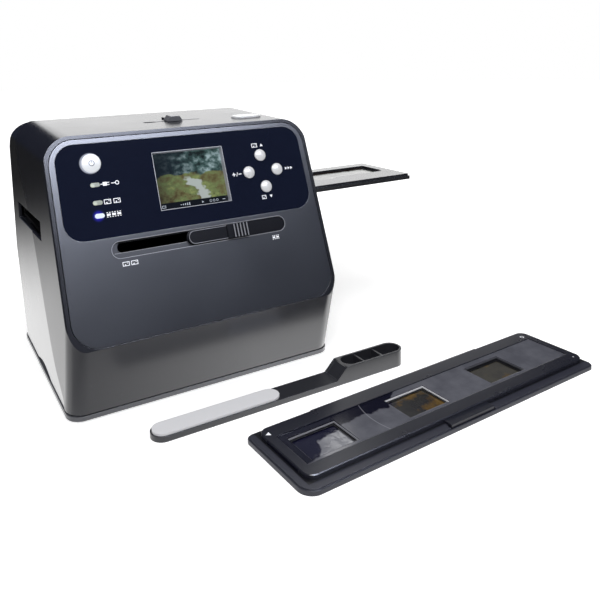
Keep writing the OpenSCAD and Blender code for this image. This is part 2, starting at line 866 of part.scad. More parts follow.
module lens_barrel() {
    color("#18191b") translate([0, axis_y, 0]) difference() {
        union() {
            translate([0, 0, deck_z - 5]) cylinder(d = lens_d, h = 19);
            translate([0, 0, deck_z + deck_t]) cylinder(d = lens_d + 7, h = 3);
            for (i = [0:3]) translate([0, 0, deck_z + deck_t + 4 + i * 1.8])
                cylinder(d = lens_d + 1.6, h = 0.9);
        }
        translate([0, 0, deck_z - 6]) cylinder(d = 11, h = 5);
    }
}

module sensor_board() {
    color("#2f6b45") translate([0, axis_y, deck_z + 14]) {
        translate([-16, -16, 0]) cube([32, 32, 1.6]);
        translate([-7, -7, 1.6 - eps]) cube([14, 14, 1.4]);
    }
}

// Black hood that narrows from the film gate up to the lens
module light_hood() {
    hood_low = gate_top + tray_t + 1.2;
    color("#1a1b1d") translate([0, axis_y, 0]) difference() {
        hull() {
            translate([0, 0, hood_low]) linear_extrude(eps)
                square([aperture_w + 2.4, aperture_d + 2.4], center = true);
            translate([0, 0, deck_z - 0.3]) linear_extrude(eps)
                square([34, 30], center = true);
        }
        hull() {
            translate([0, 0, hood_low - 1]) linear_extrude(eps)
                square([aperture_w, aperture_d], center = true);
            translate([0, 0, deck_z + 1]) linear_extrude(eps)
                square([30, 26], center = true);
        }
    }
}

// Two strips of lamps under the gate that light a print on the base
module print_lamps() {
    for (y = [tray_y - 33, tray_y + 35]) translate([0, y, gate_top - gate_t - 0.3]) {
        color("#e9e9e4") translate([0, 0, -0.8]) cube([120, 7, 1.6], center = true);
        color("#f6e58a") for (i = [-4:1:4])
            translate([i * 13, 0, -1.6 - 0.6]) cube([3.5, 2.8, 1.3], center = true);
    }
}

board_back = back_y - seam_step - wall - 6;
main_t = 1.6;
module main_board() {
    color("#2f6b45") {
        difference() {
            translate([-70, board_back - main_t, 64]) cube([140, main_t, 74]);
            for (p = board_posts) translate([p[0], board_back, p[1]])
                rotate([90, 0, 0]) cylinder(d = 3, h = 10, center = true);
        }
        translate([-20, board_back - main_t - 1.4, 104]) cube([22, 1.5, 22]);
        translate([20, board_back - main_t - 1, 110]) cube([14, 1.1, 10]);
        for (x = [-50, -42, 44]) translate([x, board_back - 1.5, 98]) rotate([90, 0, 0])
            cylinder(d = 6, h = 7);
    }
}

module usb_socket() {
    color("#b9bcc0") translate([usb_at[0], board_back + eps, usb_at[1]]) difference() {
        translate([-4.2, 0, -2.2]) cube([8.4, 8, 4.4]);
        translate([-3.6, 1, -1.6]) cube([7.2, 10, 3.2]);
    }
}

module card_socket() {
    color("#b9bcc0") translate([card_at[0], board_back + eps, card_at[1]]) difference() {
        translate([-13, 0, -1.9]) cube([26, 7.4, 3.8]);
        translate([-12.1, 1, -1.2]) cube([24.2, 10, 2.4]);
    }
}

// ------------------------------------------------------------ film tray

tray_x = tray_reach - tray_l / 2;
window_l = tray_l - 18;
grip_x = window_l / 2 - 37;      // where the window's narrow outer end begins
grip_step = 8.4;                 // how much narrower that end is
grip_slope = 26;

grip_lip = 1;                    // lip that holds the film down there
module film_tray() {
    w = film_w / 2 + 0.4;
    l = window_l / 2;
    color("#3c3d42") translate([tray_x, 0, tray_z]) difference() {
        translate([0, tray_y, 0]) linear_extrude(tray_t) rounded(tray_l, tray_w, 1.5);
        translate([0, axis_y, -1]) linear_extrude(tray_t + 2)
            rounded(window_l - 4, tray_window, 1);
        // channel for the film, and the opening above it with its narrow end
        translate([0, axis_y, tray_t / 2]) linear_extrude(tray_t / 2 - grip_lip)
            square([2 * l, 2 * w], center = true);
        translate([0, axis_y, tray_t - grip_lip - eps]) linear_extrude(tray_t)
            polygon([[-l, -w], [grip_x - grip_slope, -w], [grip_x, grip_step - w],
                [l, grip_step - w], [l, w], [-l, w]]);
        // step along the near edge
        translate([0, tray_y - tray_w / 2 + 1.6, tray_t - 0.5])
            cube([2 * far, 3.4, 2], center = true);
    }
}

film_t = 0.3;
module tray_film() {
    color("#6b4a2a") translate([tray_x, axis_y, tray_z + tray_t / 2 + 0.02])
        linear_extrude(film_t) square([228, film_w], center = true);
}

// --------------------------------------------------------- strip holder

frame_x = [-87, -15.6, 55.4];
win_l = 33;
win_w = 22.8;
win_y = 0.6;
cover_x = 2.4;
cover_l = holder_l - 7.4;
cover_y = 1.9;
cover_w = 49.8;
cover_z = holder_t + 0.1;
knuckle_d = 3.6;
hinge_y = holder_w / 2 - knuckle_d / 2;
hinge_z = holder_t - 0.2;
knuckles = [[-75, -44], [35, 70]];
lid_knuckle = [-44, 35];
tab_x = 0.8;
tab_l = 36.5;
catch_t = 1.3;                   // depth of the pocket that takes the tab

module holder_base() {
    color("#3a3b40") on_holder() difference() {
        union() {
            difference() {
                union() {
                    linear_extrude(holder_t - 0.8) rounded(holder_l, holder_w, holder_r);
                    linear_extrude(holder_t)
                        rounded(holder_l - 1.6, holder_w - 1.6, holder_r - 0.8);
                }
                // channel for the film strip
                translate([cover_x, win_y, holder_t - 0.7]) linear_extrude(5)
                    square([222, film_w + 0.6], center = true);
                for (x = frame_x) translate([x, win_y, -1]) linear_extrude(20)
                    square([win_l, win_w], center = true);
                // room for the hinge
                translate([-2.5, hinge_y + 0.4, hinge_z]) cube([152, 5.2, 5], center = true);
                // pocket for the front tab
                translate([tab_x, -holder_w / 2 + 2.2, holder_t])
                    cube([tab_l + 2, 2.8, 2 * catch_t], center = true);
            }
            for (k = knuckles) {
                knuckle(k);
                translate([k[0] + 0.3, hinge_y - 1.8, 0.4])
                    cube([k[1] - k[0] - 0.6, 3.6, hinge_z - 0.4]);
            }
        }
        hinge_bore();
    }
}

module knuckle(k) {
    translate([k[0] + 0.3, hinge_y, hinge_z]) rotate([0, 90, 0])
        cylinder(d = knuckle_d, h = k[1] - k[0] - 0.6);
}
module hinge_bore() {
    translate([0, hinge_y, hinge_z]) rotate([0, 90, 0])
        cylinder(d = pin_d + 0.1, h = far, center = true);
}

module holder_cover() {
    color("#2b2c31") on_holder() difference() {
        union() {
            difference() {
                translate([cover_x, cover_y, cover_z])
                    bevelled(cover_l, cover_w, holder_r - 3, cover_t, 0.5);
                // room for the base's knuckles
                for (k = knuckles) translate([k[0], hinge_y, hinge_z]) rotate([0, 90, 0])
                    cylinder(d = knuckle_d + 0.8, h = k[1] - k[0]);
            }
            knuckle(lid_knuckle);
            // front tab and its catch
            translate([tab_x, -holder_w / 2 + 4.4, cover_z + 0.7])
                cube([tab_l, 6.8, 1.4], center = true);
            translate([tab_x, -holder_w / 2 + 1.9, cover_z - 0.1])
                cube([tab_l, 1.8, 1.6], center = true);
        }
        // glossy channel and the frame windows
        translate([cover_x, win_y + 0.5, cover_z + cover_t - 0.7]) linear_extrude(5)
            square([221, 30], center = true);
        for (x = frame_x) translate([x, win_y, holder_t - 1]) linear_extrude(20)
            square([win_l, win_w], center = true);
        hinge_bore();
    }
}

module hinge_pins() {
    color("#a8abb0") on_holder() translate([knuckles[0][0] + 0.6, hinge_y, hinge_z])
        rotate([0, 90, 0]) cylinder(d = pin_d, h = knuckles[1][1] - knuckles[0][0] - 1.2);
}

module film_strip() {
    color("#5a3a1e") on_holder() translate([cover_x, win_y, holder_t - 0.7])
        linear_extrude(film_t) square([220, film_w], center = true);
}

// -------------------------------------------------------------- brush

ramp_x = 126;
ramp_l = 8;
cell_wall = 1.3;
rib_x = [150, 165.6];
module brush_side() {
    polygon([[0, 0], [brush_l, 0], [brush_l, trough_h], [ramp_x + ramp_l, trough_h],
        [ramp_x, blade_t], [0, blade_t]]);
}
module brush_handle() {
    color("#2e3034") on_brush() difference() {
        intersection() {
            translate([brush_l / 2, 0, -1]) linear_extrude(40) racetrack(brush_l, brush_w);
            rotate([90, 0, 0]) linear_extrude(40, center = true) brush_side();
        }
        // trough, with two ribs left across it
        difference() {
            translate([(ramp_x + ramp_l + brush_l) / 2, 0, 2]) linear_extrude(40)
                racetrack(brush_l - ramp_x - ramp_l - 2 * cell_wall, brush_w - 2 * cell_wall);
            for (x = rib_x) translate([x, 0, 0])
                cube([1.2, 40, 2 * trough_h - 2], center = true);
        }
        // hollow ramp
        translate([0, 0, 1.2]) rotate([90, 0, 0])
            linear_extrude(brush_w - 2 * cell_wall, center = true)
                polygon([[ramp_x - 12, blade_t - 1.2], [ramp_x + 1, blade_t - 1],
                    [ramp_x + ramp_l, trough_h - 2.4], [ramp_x + ramp_l, 30],
                    [ramp_x - 12, 30]]);
    }
}

pad_l = 84;
pad_w = 13.4;
module brush_pad() {
    color("#e9e9ec") on_brush() translate([pad_l / 2 + 1, 0, blade_t]) linear_extrude(1.4)
        racetrack(pad_l, pad_w);
}

// -------------------------------------------------------------- output

base_plate();
print_mat();
rubber_feet();
front_housing();
rear_housing();
front_fascia();
control_panel();
screen_bezel();
screen_module();
indicator_windows();
button_board();
power_button();
up_button();
down_button();
left_button();
right_button();
mode_slider();
backlight_carriage();
backlight_panel();
format_slider();
scan_button();
top_board();
film_gate();
camera_bracket();
lens_barrel();
sensor_board();
light_hood();
print_lamps();
main_board();
usb_socket();
card_socket();
case_screws();
film_tray();
tray_film();
holder_base();
holder_cover();
hinge_pins();
film_strip();
brush_handle();
brush_pad();
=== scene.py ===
# Looks of a film and print scanner with its film tray, strip holder and brush.
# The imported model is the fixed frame; metres, +X right, +Y back, +Z up.
import math

import bmesh
import bpy
from mathutils import Matrix, Vector


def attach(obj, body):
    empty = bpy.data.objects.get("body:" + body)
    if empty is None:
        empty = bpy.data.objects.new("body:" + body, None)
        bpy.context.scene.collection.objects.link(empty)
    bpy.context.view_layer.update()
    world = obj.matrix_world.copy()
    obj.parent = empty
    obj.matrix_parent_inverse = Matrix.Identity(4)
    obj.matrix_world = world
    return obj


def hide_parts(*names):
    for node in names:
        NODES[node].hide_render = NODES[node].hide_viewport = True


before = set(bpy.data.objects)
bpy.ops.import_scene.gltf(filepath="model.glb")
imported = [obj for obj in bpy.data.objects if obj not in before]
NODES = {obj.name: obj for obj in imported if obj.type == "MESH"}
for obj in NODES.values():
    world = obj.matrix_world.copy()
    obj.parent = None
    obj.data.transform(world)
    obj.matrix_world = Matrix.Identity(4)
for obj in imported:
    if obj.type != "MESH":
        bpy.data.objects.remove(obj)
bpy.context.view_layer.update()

# ---------------------------------------------------------------- camera
# A 39 mm lens on a 36 mm wide sensor, a little above the scanner's top and to
# its left. The lens is shifted down, so the upright edges stay nearly upright.
IMAGE_WIDTH = 600
FOCAL_PIXELS = 654.1
SHIFT_PIXELS = (43.33, -157.65)
CAMERA_AT = (-0.16814, -0.44853, 0.21820)
CAMERA_TURN = (82.1041, 1.2972, -28.9587)
SENSOR = 36
NEAREST = 0.02

scene = bpy.context.scene
lens = bpy.data.cameras.new("camera")
lens.sensor_width = SENSOR
lens.lens = FOCAL_PIXELS * SENSOR / IMAGE_WIDTH
lens.shift_x = SHIFT_PIXELS[0] / IMAGE_WIDTH
lens.shift_y = SHIFT_PIXELS[1] / IMAGE_WIDTH
lens.clip_start = NEAREST
camera = bpy.data.objects.new("camera", lens)
camera.location = CAMERA_AT
camera.rotation_euler = [math.radians(angle) for angle in CAMERA_TURN]
scene.collection.objects.link(camera)
scene.camera = camera
scene.view_settings.view_transform = "Standard"

# ---------------------------------------------------------------- studio
# A white table in a dim navy room, with a lit white screen, two lit cards and
# two soft boxes. Glossy plastic shows the bright table near its foot, the
# screen at a glancing angle, and the dim room anywhere else.
WHITE = "#ffffff"
BLACK = "#000000"
PAPER = "#f2f2f2"
ROOM_LIGHT = 0.36
ROOM_SHINE = 0.026
ROOM_TINT = (0.72, 0.85, 1.5)
TABLE_RADIUS = 4.0
TABLE_REACH = 0.8
TABLE_SHINE = ((0.10, 1.3), (0.15, 1.28), (0.19, 1.22), (0.24, 1.05), (0.30, 0.8),
               (0.38, 0.46), (0.48, 0.17), (0.61, 0.05), (0.78, 0.02))
TABLE_SEEN = ((0.16, 0.42), (0.30, 0.55), (0.46, 1.0))
SCANNER_FRONT = -0.07
FOOT_GLOW = 1.5
FOOT_AHEAD = (-0.17, -0.09)
FOOT_ACROSS = (-0.11, 0.04)
FOOT_LEFT_SHARE = 0.3


def linear(code, alpha=1.0):
    """An sRGB hex colour as the linear values that shaders take."""
    parts = [int(code[i:i + 2], 16) / 255 for i in (1, 3, 5)]
    return (*[p / 12.92 if p <= 0.04045 else ((p + 0.055) / 1.055) ** 2.4 for p in parts], alpha)


def add(tree, kind, inputs=None, **settings):
    """Adds a node. An input is a value, or the output socket that feeds it."""
    node = tree.nodes.new("ShaderNode" + kind)
    for name, value in settings.items():
        setattr(node, name, value)
    for name, value in (inputs or {}).items():
        if isinstance(value, bpy.types.NodeSocket):
            tree.links.new(value, node.inputs[name])
        else:
            node.inputs[name].default_value = value
    return node


def steps(node, stops):
    """Sets a ColorRamp's stops, each a position and a colour or a grey level."""
    ramp = node.color_ramp
    while len(ramp.elements) > 1:
        ramp.elements.remove(ramp.elements[-1])
    for i, (position, color) in enumerate(stops):
        stop = ramp.elements[0] if i == 0 else ramp.elements.new(position)
        stop.position = position
        stop.color = linear(color) if isinstance(color, str) else (color, color, color, 1.0)
    return node.outputs["Color"]


def ways_seen(tree):
    """Whether a thing is seen in a glossy surface, and whether directly or through glass."""
    path = add(tree, "LightPath")
    direct = add(tree, "Math", {0: path.outputs["Is Camera Ray"], 1: path.outputs["Is Transmission Ray"]},
                 operation="MAXIMUM")
    return path.outputs["Is Glossy Ray"], direct.outputs[0]


def surface(name):
    """A new material with its node tree and its Principled shader."""
    material = bpy.data.materials.new(name)
    material.use_nodes = True
    return material, material.node_tree, material.node_tree.nodes["Principled BSDF"]


def placed(name, mesh, material):
    """A new object in the scene with the built mesh and its material."""
    data = bpy.data.meshes.new(name)
    mesh.to_mesh(data)
    mesh.free()
    data.materials.append(material)
    thing = bpy.data.objects.new(name, data)
    scene.collection.objects.link(thing)
    return thing


# The room lights evenly, is white to the eye and dim navy in gloss.
room = bpy.data.worlds.new("room")
scene.world = room
room.use_nodes = True
tree = room.node_tree
mirrored, direct = ways_seen(tree)
level = add(tree, "Mix", {0: mirrored, 6: (ROOM_LIGHT, ROOM_LIGHT, ROOM_LIGHT, 1),
                          7: (*[ROOM_SHINE * share for share in ROOM_TINT], 1)}, data_type="RGBA")
level = add(tree, "Mix", {0: direct, 6: level.outputs[2], 7: linear(WHITE)}, data_type="RGBA")
tree.links.new(level.outputs[2], tree.nodes["Background"].inputs["Color"])

# White paper keeps the shadows near the scanner and turns to plain white
# further out. In gloss it glows near the scanner, most at its front foot.
material, tree, shader = surface("white paper")
tree.nodes.remove(shader)
place = add(tree, "TexCoord")
flat = add(tree, "VectorMath", {0: place.outputs["Object"], 1: (1 / TABLE_REACH, 1 / TABLE_REACH, 0)},
           operation="MULTIPLY")
away = add(tree, "VectorMath", {0: flat.outputs[0]}, operation="LENGTH").outputs["Value"]
x, y, z = add(tree, "SeparateXYZ", {0: place.outputs["Object"]}).outputs
bright = steps(add(tree, "ValToRGB", {0: away}), [(d / TABLE_REACH, value) for d, value in TABLE_SHINE])
plain = steps(add(tree, "ValToRGB", {0: away}), [(d / TABLE_REACH, value) for d, value in TABLE_SEEN])
across = add(tree, "MapRange", {0: x, 1: FOOT_ACROSS[0], 2: FOOT_ACROSS[1], 3: FOOT_LEFT_SHARE})
ahead = add(tree, "MapRange", {0: y, 1: FOOT_AHEAD[0], 2: FOOT_AHEAD[1], 4: FOOT_GLOW},
            interpolation_type="SMOOTHSTEP")
in_front = add(tree, "Math", {0: y, 1: SCANNER_FRONT}, operation="LESS_THAN")
foot = add(tree, "Math", {0: bright, 1: ahead.outputs[0]}, operation="ADD")
foot = add(tree, "Math", {0: foot.outputs[0], 1: across.outputs[0]}, operation="MULTIPLY")
shining = add(tree, "Mix", {0: in_front.outputs[0], 2: bright, 3: foot.outputs[0]})
mirrored, direct = ways_seen(tree)
seen = add(tree, "Math", {0: direct, 1: plain}, operation="MULTIPLY")
glow = add(tree, "Math", {0: mirrored, 1: shining.outputs[0], 2: seen.outputs[0]}, operation="MULTIPLY_ADD")
paper = add(tree, "BsdfDiffuse", {"Color": linear(PAPER)})
black = add(tree, "BsdfDiffuse", {"Color": linear(BLACK)})
unlit = add(tree, "MixShader", {0: mirrored, 1: paper.outputs[0], 2: black.outputs[0]})
light = add(tree, "Emission", {"Color": linear(WHITE), "Strength": glow.outputs[0]})
both = add(tree, "AddShader", {0: unlit.outputs[0], 1: light.outputs[0]})
tree.links.new(both.outputs[0], tree.nodes["Material Output"].inputs["Surface"])
mesh = bmesh.new()
bmesh.ops.create_circle(mesh, cap_ends=True, segments=64, radius=TABLE_RADIUS)
placed("table", mesh, material)


def reflector(name, at, towards, width, height, shine, color=WHITE):
    """A lit card, seen in glossy surfaces only."""
    material, tree, shader = surface(name.replace("_", " "))
    tree.nodes.remove(shader)
    light = add(tree, "Emission", {"Color": linear(color), "Strength": shine})
    tree.links.new(light.outputs[0], tree.nodes["Material Output"].inputs["Surface"])
    mesh = bmesh.new()
    bmesh.ops.create_grid(mesh, x_segments=1, y_segments=1, size=0.5,
                          matrix=Matrix.Diagonal((width, height, 1, 1)))
    turn = (Vector(towards) - Vector(at)).to_track_quat("Z", "Y").to_matrix().to_4x4()
    bmesh.ops.transform(mesh, matrix=Matrix.Translation(at) @ turn, verts=mesh.verts)
    card = placed(name, mesh, material)
    card.visible_camera = False
    card.visible_diffuse = False
    card.visible_shadow = False


reflector("white_screen", at=(0.87, 1.05, 0.31), towards=(0.87, 0.0, 0.31),
          width=1.77, height=0.62, shine=1.85)
reflector("upper_card", at=(0.5, 1.0, 1.2), towards=(0.0, -0.15, 0.0),
          width=0.8, height=0.7, shine=2.4)
reflector("front_card", at=(0.22, -0.87, 1.06), towards=(0.0, -0.07, 0.11),
          width=1.0, height=0.42, shine=27.0, color="#e3eaff")


def softbox(name, at, towards, size, power):
    """A square soft lamp that faces a point."""
    lamp = bpy.data.lights.new(name, "AREA")
    lamp.shape = "SQUARE"
    lamp.size = size
    lamp.energy = power
    stand = bpy.data.objects.new(name, lamp)
    stand.location = at
    stand.rotation_euler = (Vector(towards) - Vector(at)).to_track_quat("-Z", "Y").to_euler()
    scene.collection.objects.link(stand)


softbox("overhead", at=(0.0, -0.1, 1.6), towards=(0.05, -0.05, 0.0), size=1.2, power=8.0)
softbox("front_left", at=(-0.42, -0.9, 1.15), towards=(-0.02, -0.08, 0.12), size=0.55, power=9.0)

# ------------------------------------------------- housings and base plate
# Two ABS shells, injection moulded in anthracite in a highly polished mould.
# The front one carries the fascia in its rim, and both stand round the base
# plate's spigot. The plate holds a white mat for prints and has rubber feet.
MM = 0.001
HOUSING_COLOR = "#1f2027"
BASE_COLOR = "#55565b"
MAT_COLOR = "#dededb"
RUBBER_COLOR = "#1b1b1d"
EDGE = 0.35
DRIFTS_PER_METRE = 22.0
DUST_PER_METRE = 900.0
SHEEN_SPREAD = 0.012
SHADE = 0.95


def moulded(name, color, roughness, grain, depth, edge=EDGE, ior=1.53):
    """Moulded plastic; grain, its depth and the edge's radius are in millimetres."""
    material, tree, shader = surface(name)
    place = add(tree, "TexCoord").outputs["Object"]
    # The mould's grain is under 0.1 mm, and is drawn at 0.2 to 0.5 mm so that it
    # shows: reflections look faintly frosted in place of sharp. The shine drifts
    # over some 45 mm. Specks of dust are drawn up to 1 mm wide for the same reason.
    fine = add(tree, "TexNoise", {"Vector": place, "Scale": 1 / (grain * MM), "Detail": 2.0,
                                  "Roughness": 0.6})
    broad = add(tree, "TexNoise", {"Vector": place, "Scale": DRIFTS_PER_METRE, "Detail": 3.0})
    dust = add(tree, "TexNoise", {"Vector": place, "Scale": DUST_PER_METRE, "Detail": 1.0})
    speck = add(tree, "MapRange", {0: dust.outputs["Fac"], 1: 0.76, 2: 0.82, 4: 0.04})
    dull = add(tree, "MapRange", {0: broad.outputs["Fac"], 1: 0.3, 2: 0.7,
                                  3: roughness - SHEEN_SPREAD, 4: roughness + SHEEN_SPREAD})
    worn = add(tree, "Math", {0: dull.outputs[0], 1: speck.outputs[0]}, operation="ADD")
    dark = [channel * SHADE for channel in linear(color)[:3]]
    tint = add(tree, "Mix", {0: broad.outputs["Fac"], 6: (*dark, 1), 7: linear(color)}, data_type="RGBA")
    soft = add(tree, "Bevel", {"Radius": edge * MM}, samples=6)
    bump = add(tree, "Bump", {"Strength": 0.6, "Distance": depth * MM, "Height": fine.outputs["Fac"],
                              "Normal": soft.outputs[0]})
    tree.links.new(tint.outputs[2], shader.inputs["Base Color"])
    tree.links.new(worn.outputs[0], shader.inputs["Roughness"])
    tree.links.new(bump.outputs[0], shader.inputs["Normal"])
    shader.inputs["IOR"].default_value = ior
    return material


def paint(material, *names):
    """Gives CAD nodes a material in place of their plain one."""
    for name in names:
        for slot in NODES[name].material_slots:
            slot.material = material


def inside(material):
    """A material's node tree and its Principled shader."""
    return material.node_tree, material.node_tree.nodes["Principled BSDF"]


# Polished ABS mirrors the room a little blurred, and its edges catch light.
paint(moulded("polished ABS", HOUSING_COLOR, 0.25, 0.5, 0.003), "front_housing")

# A coat of clear lacquer adds to the shine, so the walls look silvery beside
# the white screen and nearly black away from it.
material = moulded("lacquered ABS", HOUSING_COLOR, 0.28, 0.5, 0.004)
tree, shader = inside(material)
shader.inputs["Coat Weight"].default_value = 1.0
shader.inputs["Coat Roughness"].default_value = 0.2
paint(material, "rear_housing")

# The base plate's satin ABS is a lighter grey line under the housings. The
# mat and the rubber are matt, so they show no reflection.
paint(moulded("satin base ABS", BASE_COLOR, 0.33, 0.5, 0.008), "base_plate")
paint(moulded("white print mat", MAT_COLOR, 0.7, 0.4, 0.02), "print_mat")
paint(moulded("black rubber", RUBBER_COLOR, 0.75, 0.3, 0.02), "rubber_feet")

# --------------------------------------------------------------- fascia
# One moulding in the same ABS with a finer satin texture, set into the front
# housing's rim. It leans back, and it and all that it carries are drawn in
# millimetres of its own: across, up the slope and outwards.
PANEL_LEAN = math.radians(21.25)
PANEL_TOP = Vector((0, -0.039984, 0.169))
ACROSS = Vector((1, 0, 0))
UP_SLOPE = Vector((0, math.sin(PANEL_LEAN), math.cos(PANEL_LEAN)))
OUTWARD = Vector((0, -math.cos(PANEL_LEAN), math.sin(PANEL_LEAN)))
PANEL = Matrix.Translation(PANEL_TOP) @ Matrix((ACROSS, UP_SLOPE, OUTWARD)).transposed().to_4x4()
FASCIA_COLOR = "#1f222a"
RECESS_PAINTED_SHADE = "#0a0b16"
RECESS_SHADE = (-0.3, -1.6)


def on_panel(u, v, out=0.0):
    """A point of the panel: millimetres across, up the slope and outwards."""
    return PANEL @ Vector((u * MM, v * MM, out * MM))


def measured(tree, place, size=(MM, MM, MM), corner=(0, 0, 0)):
    """Object coordinates as lengths along a placed piece, as a vector and its three parts."""
    source = add(tree, "TexCoord")
    turned = add(tree, "Mapping", {0: source.outputs["Object"], 1: place @ (Vector(corner) * MM),
                                   2: place.to_euler(), 3: size}, vector_type="TEXTURE")
    return turned.outputs[0], add(tree, "SeparateXYZ", {0: turned.outputs[0]}).outputs


def feeding(shader, name):
    """The output that feeds one of a shader's inputs."""
    return shader.inputs[name].links[0].from_socket


# Satin ABS gives broad soft highlights. Painted shade darkens the slider's
# recess, the more the deeper it lies, so that it doesn't glint.
material = moulded("satin fascia ABS", FASCIA_COLOR, 0.29, 0.45, 0.006, ior=1.85)
tree, shader = inside(material)
vector, (u, v, out) = measured(tree, PANEL)
deep = add(tree, "MapRange", {0: out, 1: RECESS_SHADE[0], 2: RECESS_SHADE[1]})
shade = add(tree, "Mix", {0: deep.outputs[0], 6: feeding(shader, "Base Color"), 7: linear(RECESS_PAINTED_SHADE)},
            data_type="RGBA")
tree.links.new(shade.outputs[2], shader.inputs["Base Color"])
paint(material, "front_fascia")

# --------------------------------------------------------- control panel
# A clear acrylic plate, printed blue-black from behind, so that it shines
# like glass. Light from the lit lamp and the lit key spreads a little in it.
PANEL_COLOR = "#161b2d"
PANEL_SHADE = 0.85
POWER_AT = (-65.3, -18.6)
LAMP_U = -64.85
LAMPS_V = (-32.4, -43.7, -51.9)
KEYS_AT = (53.6, -36.3)


def halo(tree, at, core, reach, color, strength, fall=2.2):
    """Light round a point, out to a reach in millimetres, as a colour times its strength."""
    place = add(tree, "TexCoord")
    away = add(tree, "VectorMath", {0: place.outputs["Object"], 1: at}, operation="DISTANCE")
    fade = add(tree, "MapRange", {0: away.outputs["Value"], 1: core * MM, 2: reach * MM, 3: 1.0, 4: 0.0},
               interpolation_type="SMOOTHERSTEP")
    sharp = add(tree, "Math", {0: fade.outputs[0], 1: fall}, operation="POWER")
    shine = [channel * strength for channel in linear(color)[:3]]
    return add(tree, "VectorMath", {0: sharp.outputs[0], 1: shine}, operation="MULTIPLY").outputs[0]


def glowing(tree, shader, *halos):
    """Adds halos up as the light that a surface gives off."""
    total = halos[0]
    for other in halos[1:]:
        total = add(tree, "VectorMath", {0: other, 1: total}, operation="ADD").outputs[0]
    tree.links.new(total, shader.inputs["Emission Color"])
    shader.inputs["Emission Strength"].default_value = 1.0


# Acrylic is a dark, clean mirror with a few broad, dull smears.
material, tree, shader = surface("back-printed acrylic")
place = add(tree, "TexCoord")
broad = add(tree, "TexNoise", {"Vector": place.outputs["Object"], "Scale": 14.0, "Detail": 2.0})
dark = [channel * PANEL_SHADE for channel in linear(PANEL_COLOR)[:3]]
tint = add(tree, "Mix", {0: broad.outputs["Fac"], 6: (*dark, 1), 7: linear(PANEL_COLOR)}, data_type="RGBA")
smear = add(tree, "MapRange", {0: broad.outputs["Fac"], 3: 0.03, 4: 0.07})
tree.links.new(tint.outputs[2], shader.inputs["Base Color"])
tree.links.new(smear.outputs[0], shader.inputs["Roughness"])
glowing(tree, shader, halo(tree, on_panel(LAMP_U - 0.8, LAMPS_V[2]), 1.2, 5.4, "#3a32e8", 0.5),
        halo(tree, on_panel(POWER_AT[0] - 0.7, POWER_AT[1]), 6.0, 7.4, "#e6ecff", 0.5))
shader.inputs["IOR"].default_value = 1.49
paint(material, "control_panel")

# ------------------------------------------------- printed signs on the front
# White enamel ink, screen printed a few hundredths of a millimetre thick: a
# plug, pictures and a film strip by the lamps and at the slider's ends, and
# arrows, a plus and a minus round the four keys.
INK = "#eef0f4"
INK_GLOW = "#f2f4ff"
SIGN_LINE = 0.42
SIGNS_U = -60.2
PICTURE = (4.4, 3.0)
SLIDER_SIGNS_V = -83.4
RIGHT, DOWN = math.radians(-90), math.radians(180)


def flat_piece(name, build, material, body, out=0.0, thick=0.05, place=PANEL):
    """A thin closed piece drawn in a placed piece's millimetres."""
    mesh = bmesh.new()
    build(mesh)
    made = bmesh.ops.extrude_face_region(mesh, geom=list(mesh.faces), use_keep_orig=True)
    raised = [item for item in made["geom"] if isinstance(item, bmesh.types.BMVert)]
    bmesh.ops.translate(mesh, verts=raised, vec=(0, 0, thick))
    bmesh.ops.recalc_face_normals(mesh, faces=mesh.faces)
    bmesh.ops.translate(mesh, verts=mesh.verts, vec=(0, 0, out))
    bmesh.ops.scale(mesh, verts=mesh.verts, vec=(MM, MM, MM))
    bmesh.ops.transform(mesh, matrix=place, verts=mesh.verts)
    piece = placed(name, mesh, material)
    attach(piece, body)


def plate(mesh, at, size, turn=0.0):
    """A flat rectangle."""
    spot = Matrix.Translation((*at, 0)) @ Matrix.Rotation(turn, 4, "Z") @ Matrix.Diagonal((*size, 1, 1))
    bmesh.ops.create_grid(mesh, x_segments=1, y_segments=1, size=0.5, matrix=spot)


def disc(mesh, at, radius, sides=24, turn=0.0):
    """A flat disc, or a triangle with three sides, which points up unturned."""
    spot = Matrix.Translation((*at, 0)) @ Matrix.Rotation(turn, 4, "Z")
    bmesh.ops.create_circle(mesh, cap_ends=True, segments=sides, radius=radius, matrix=spot)


def rounded(mesh, at, size):
    """A flat rectangle with round ends."""
    before = set(mesh.verts)
    plate(mesh, at, size)
    corners = [vert for vert in mesh.verts if vert not in before]
    bmesh.ops.bevel(mesh, geom=corners, affect="VERTICES", offset=size[1] / 2 - 0.01, segments=8,
                    profile=0.5, material=-1)


def hollow(mesh, shape, line, *values):
    """The outline of a flat shape, as wide as the line."""
    before = set(mesh.faces)
    shape(mesh, *values)
    faces = [face for face in mesh.faces if face not in before]
    bmesh.ops.inset_region(mesh, faces=faces, thickness=line, use_even_offset=True, use_boundary=True)
    bmesh.ops.delete(mesh, geom=[face for face in faces if face.is_valid], context="FACES")


def picture(mesh, u, v, size=PICTURE):
    """A framed picture: an outline, a hill and a sun."""
    width, height = size
    hollow(mesh, plate, SIGN_LINE, (u, v), size)
    disc(mesh, (u - width * 0.12, v - height * 0.2), height * 0.22, 3, -RIGHT)
    disc(mesh, (u + width * 0.22, v + height * 0.14), height * 0.11, 10)


def filmstrip(mesh, u, v, frames, pitch, height):
    """A strip of film: frames between two rows of dots."""
    for i in range(frames):
        at = u + (i - (frames - 1) / 2) * pitch
        plate(mesh, (at, v), (pitch - 0.9, height * 0.42))
        for dot in (-0.25, 0.25):
            for row in (-0.44, 0.44):
                plate(mesh, (at + dot * pitch, v + row * height), (0.85, 0.5))


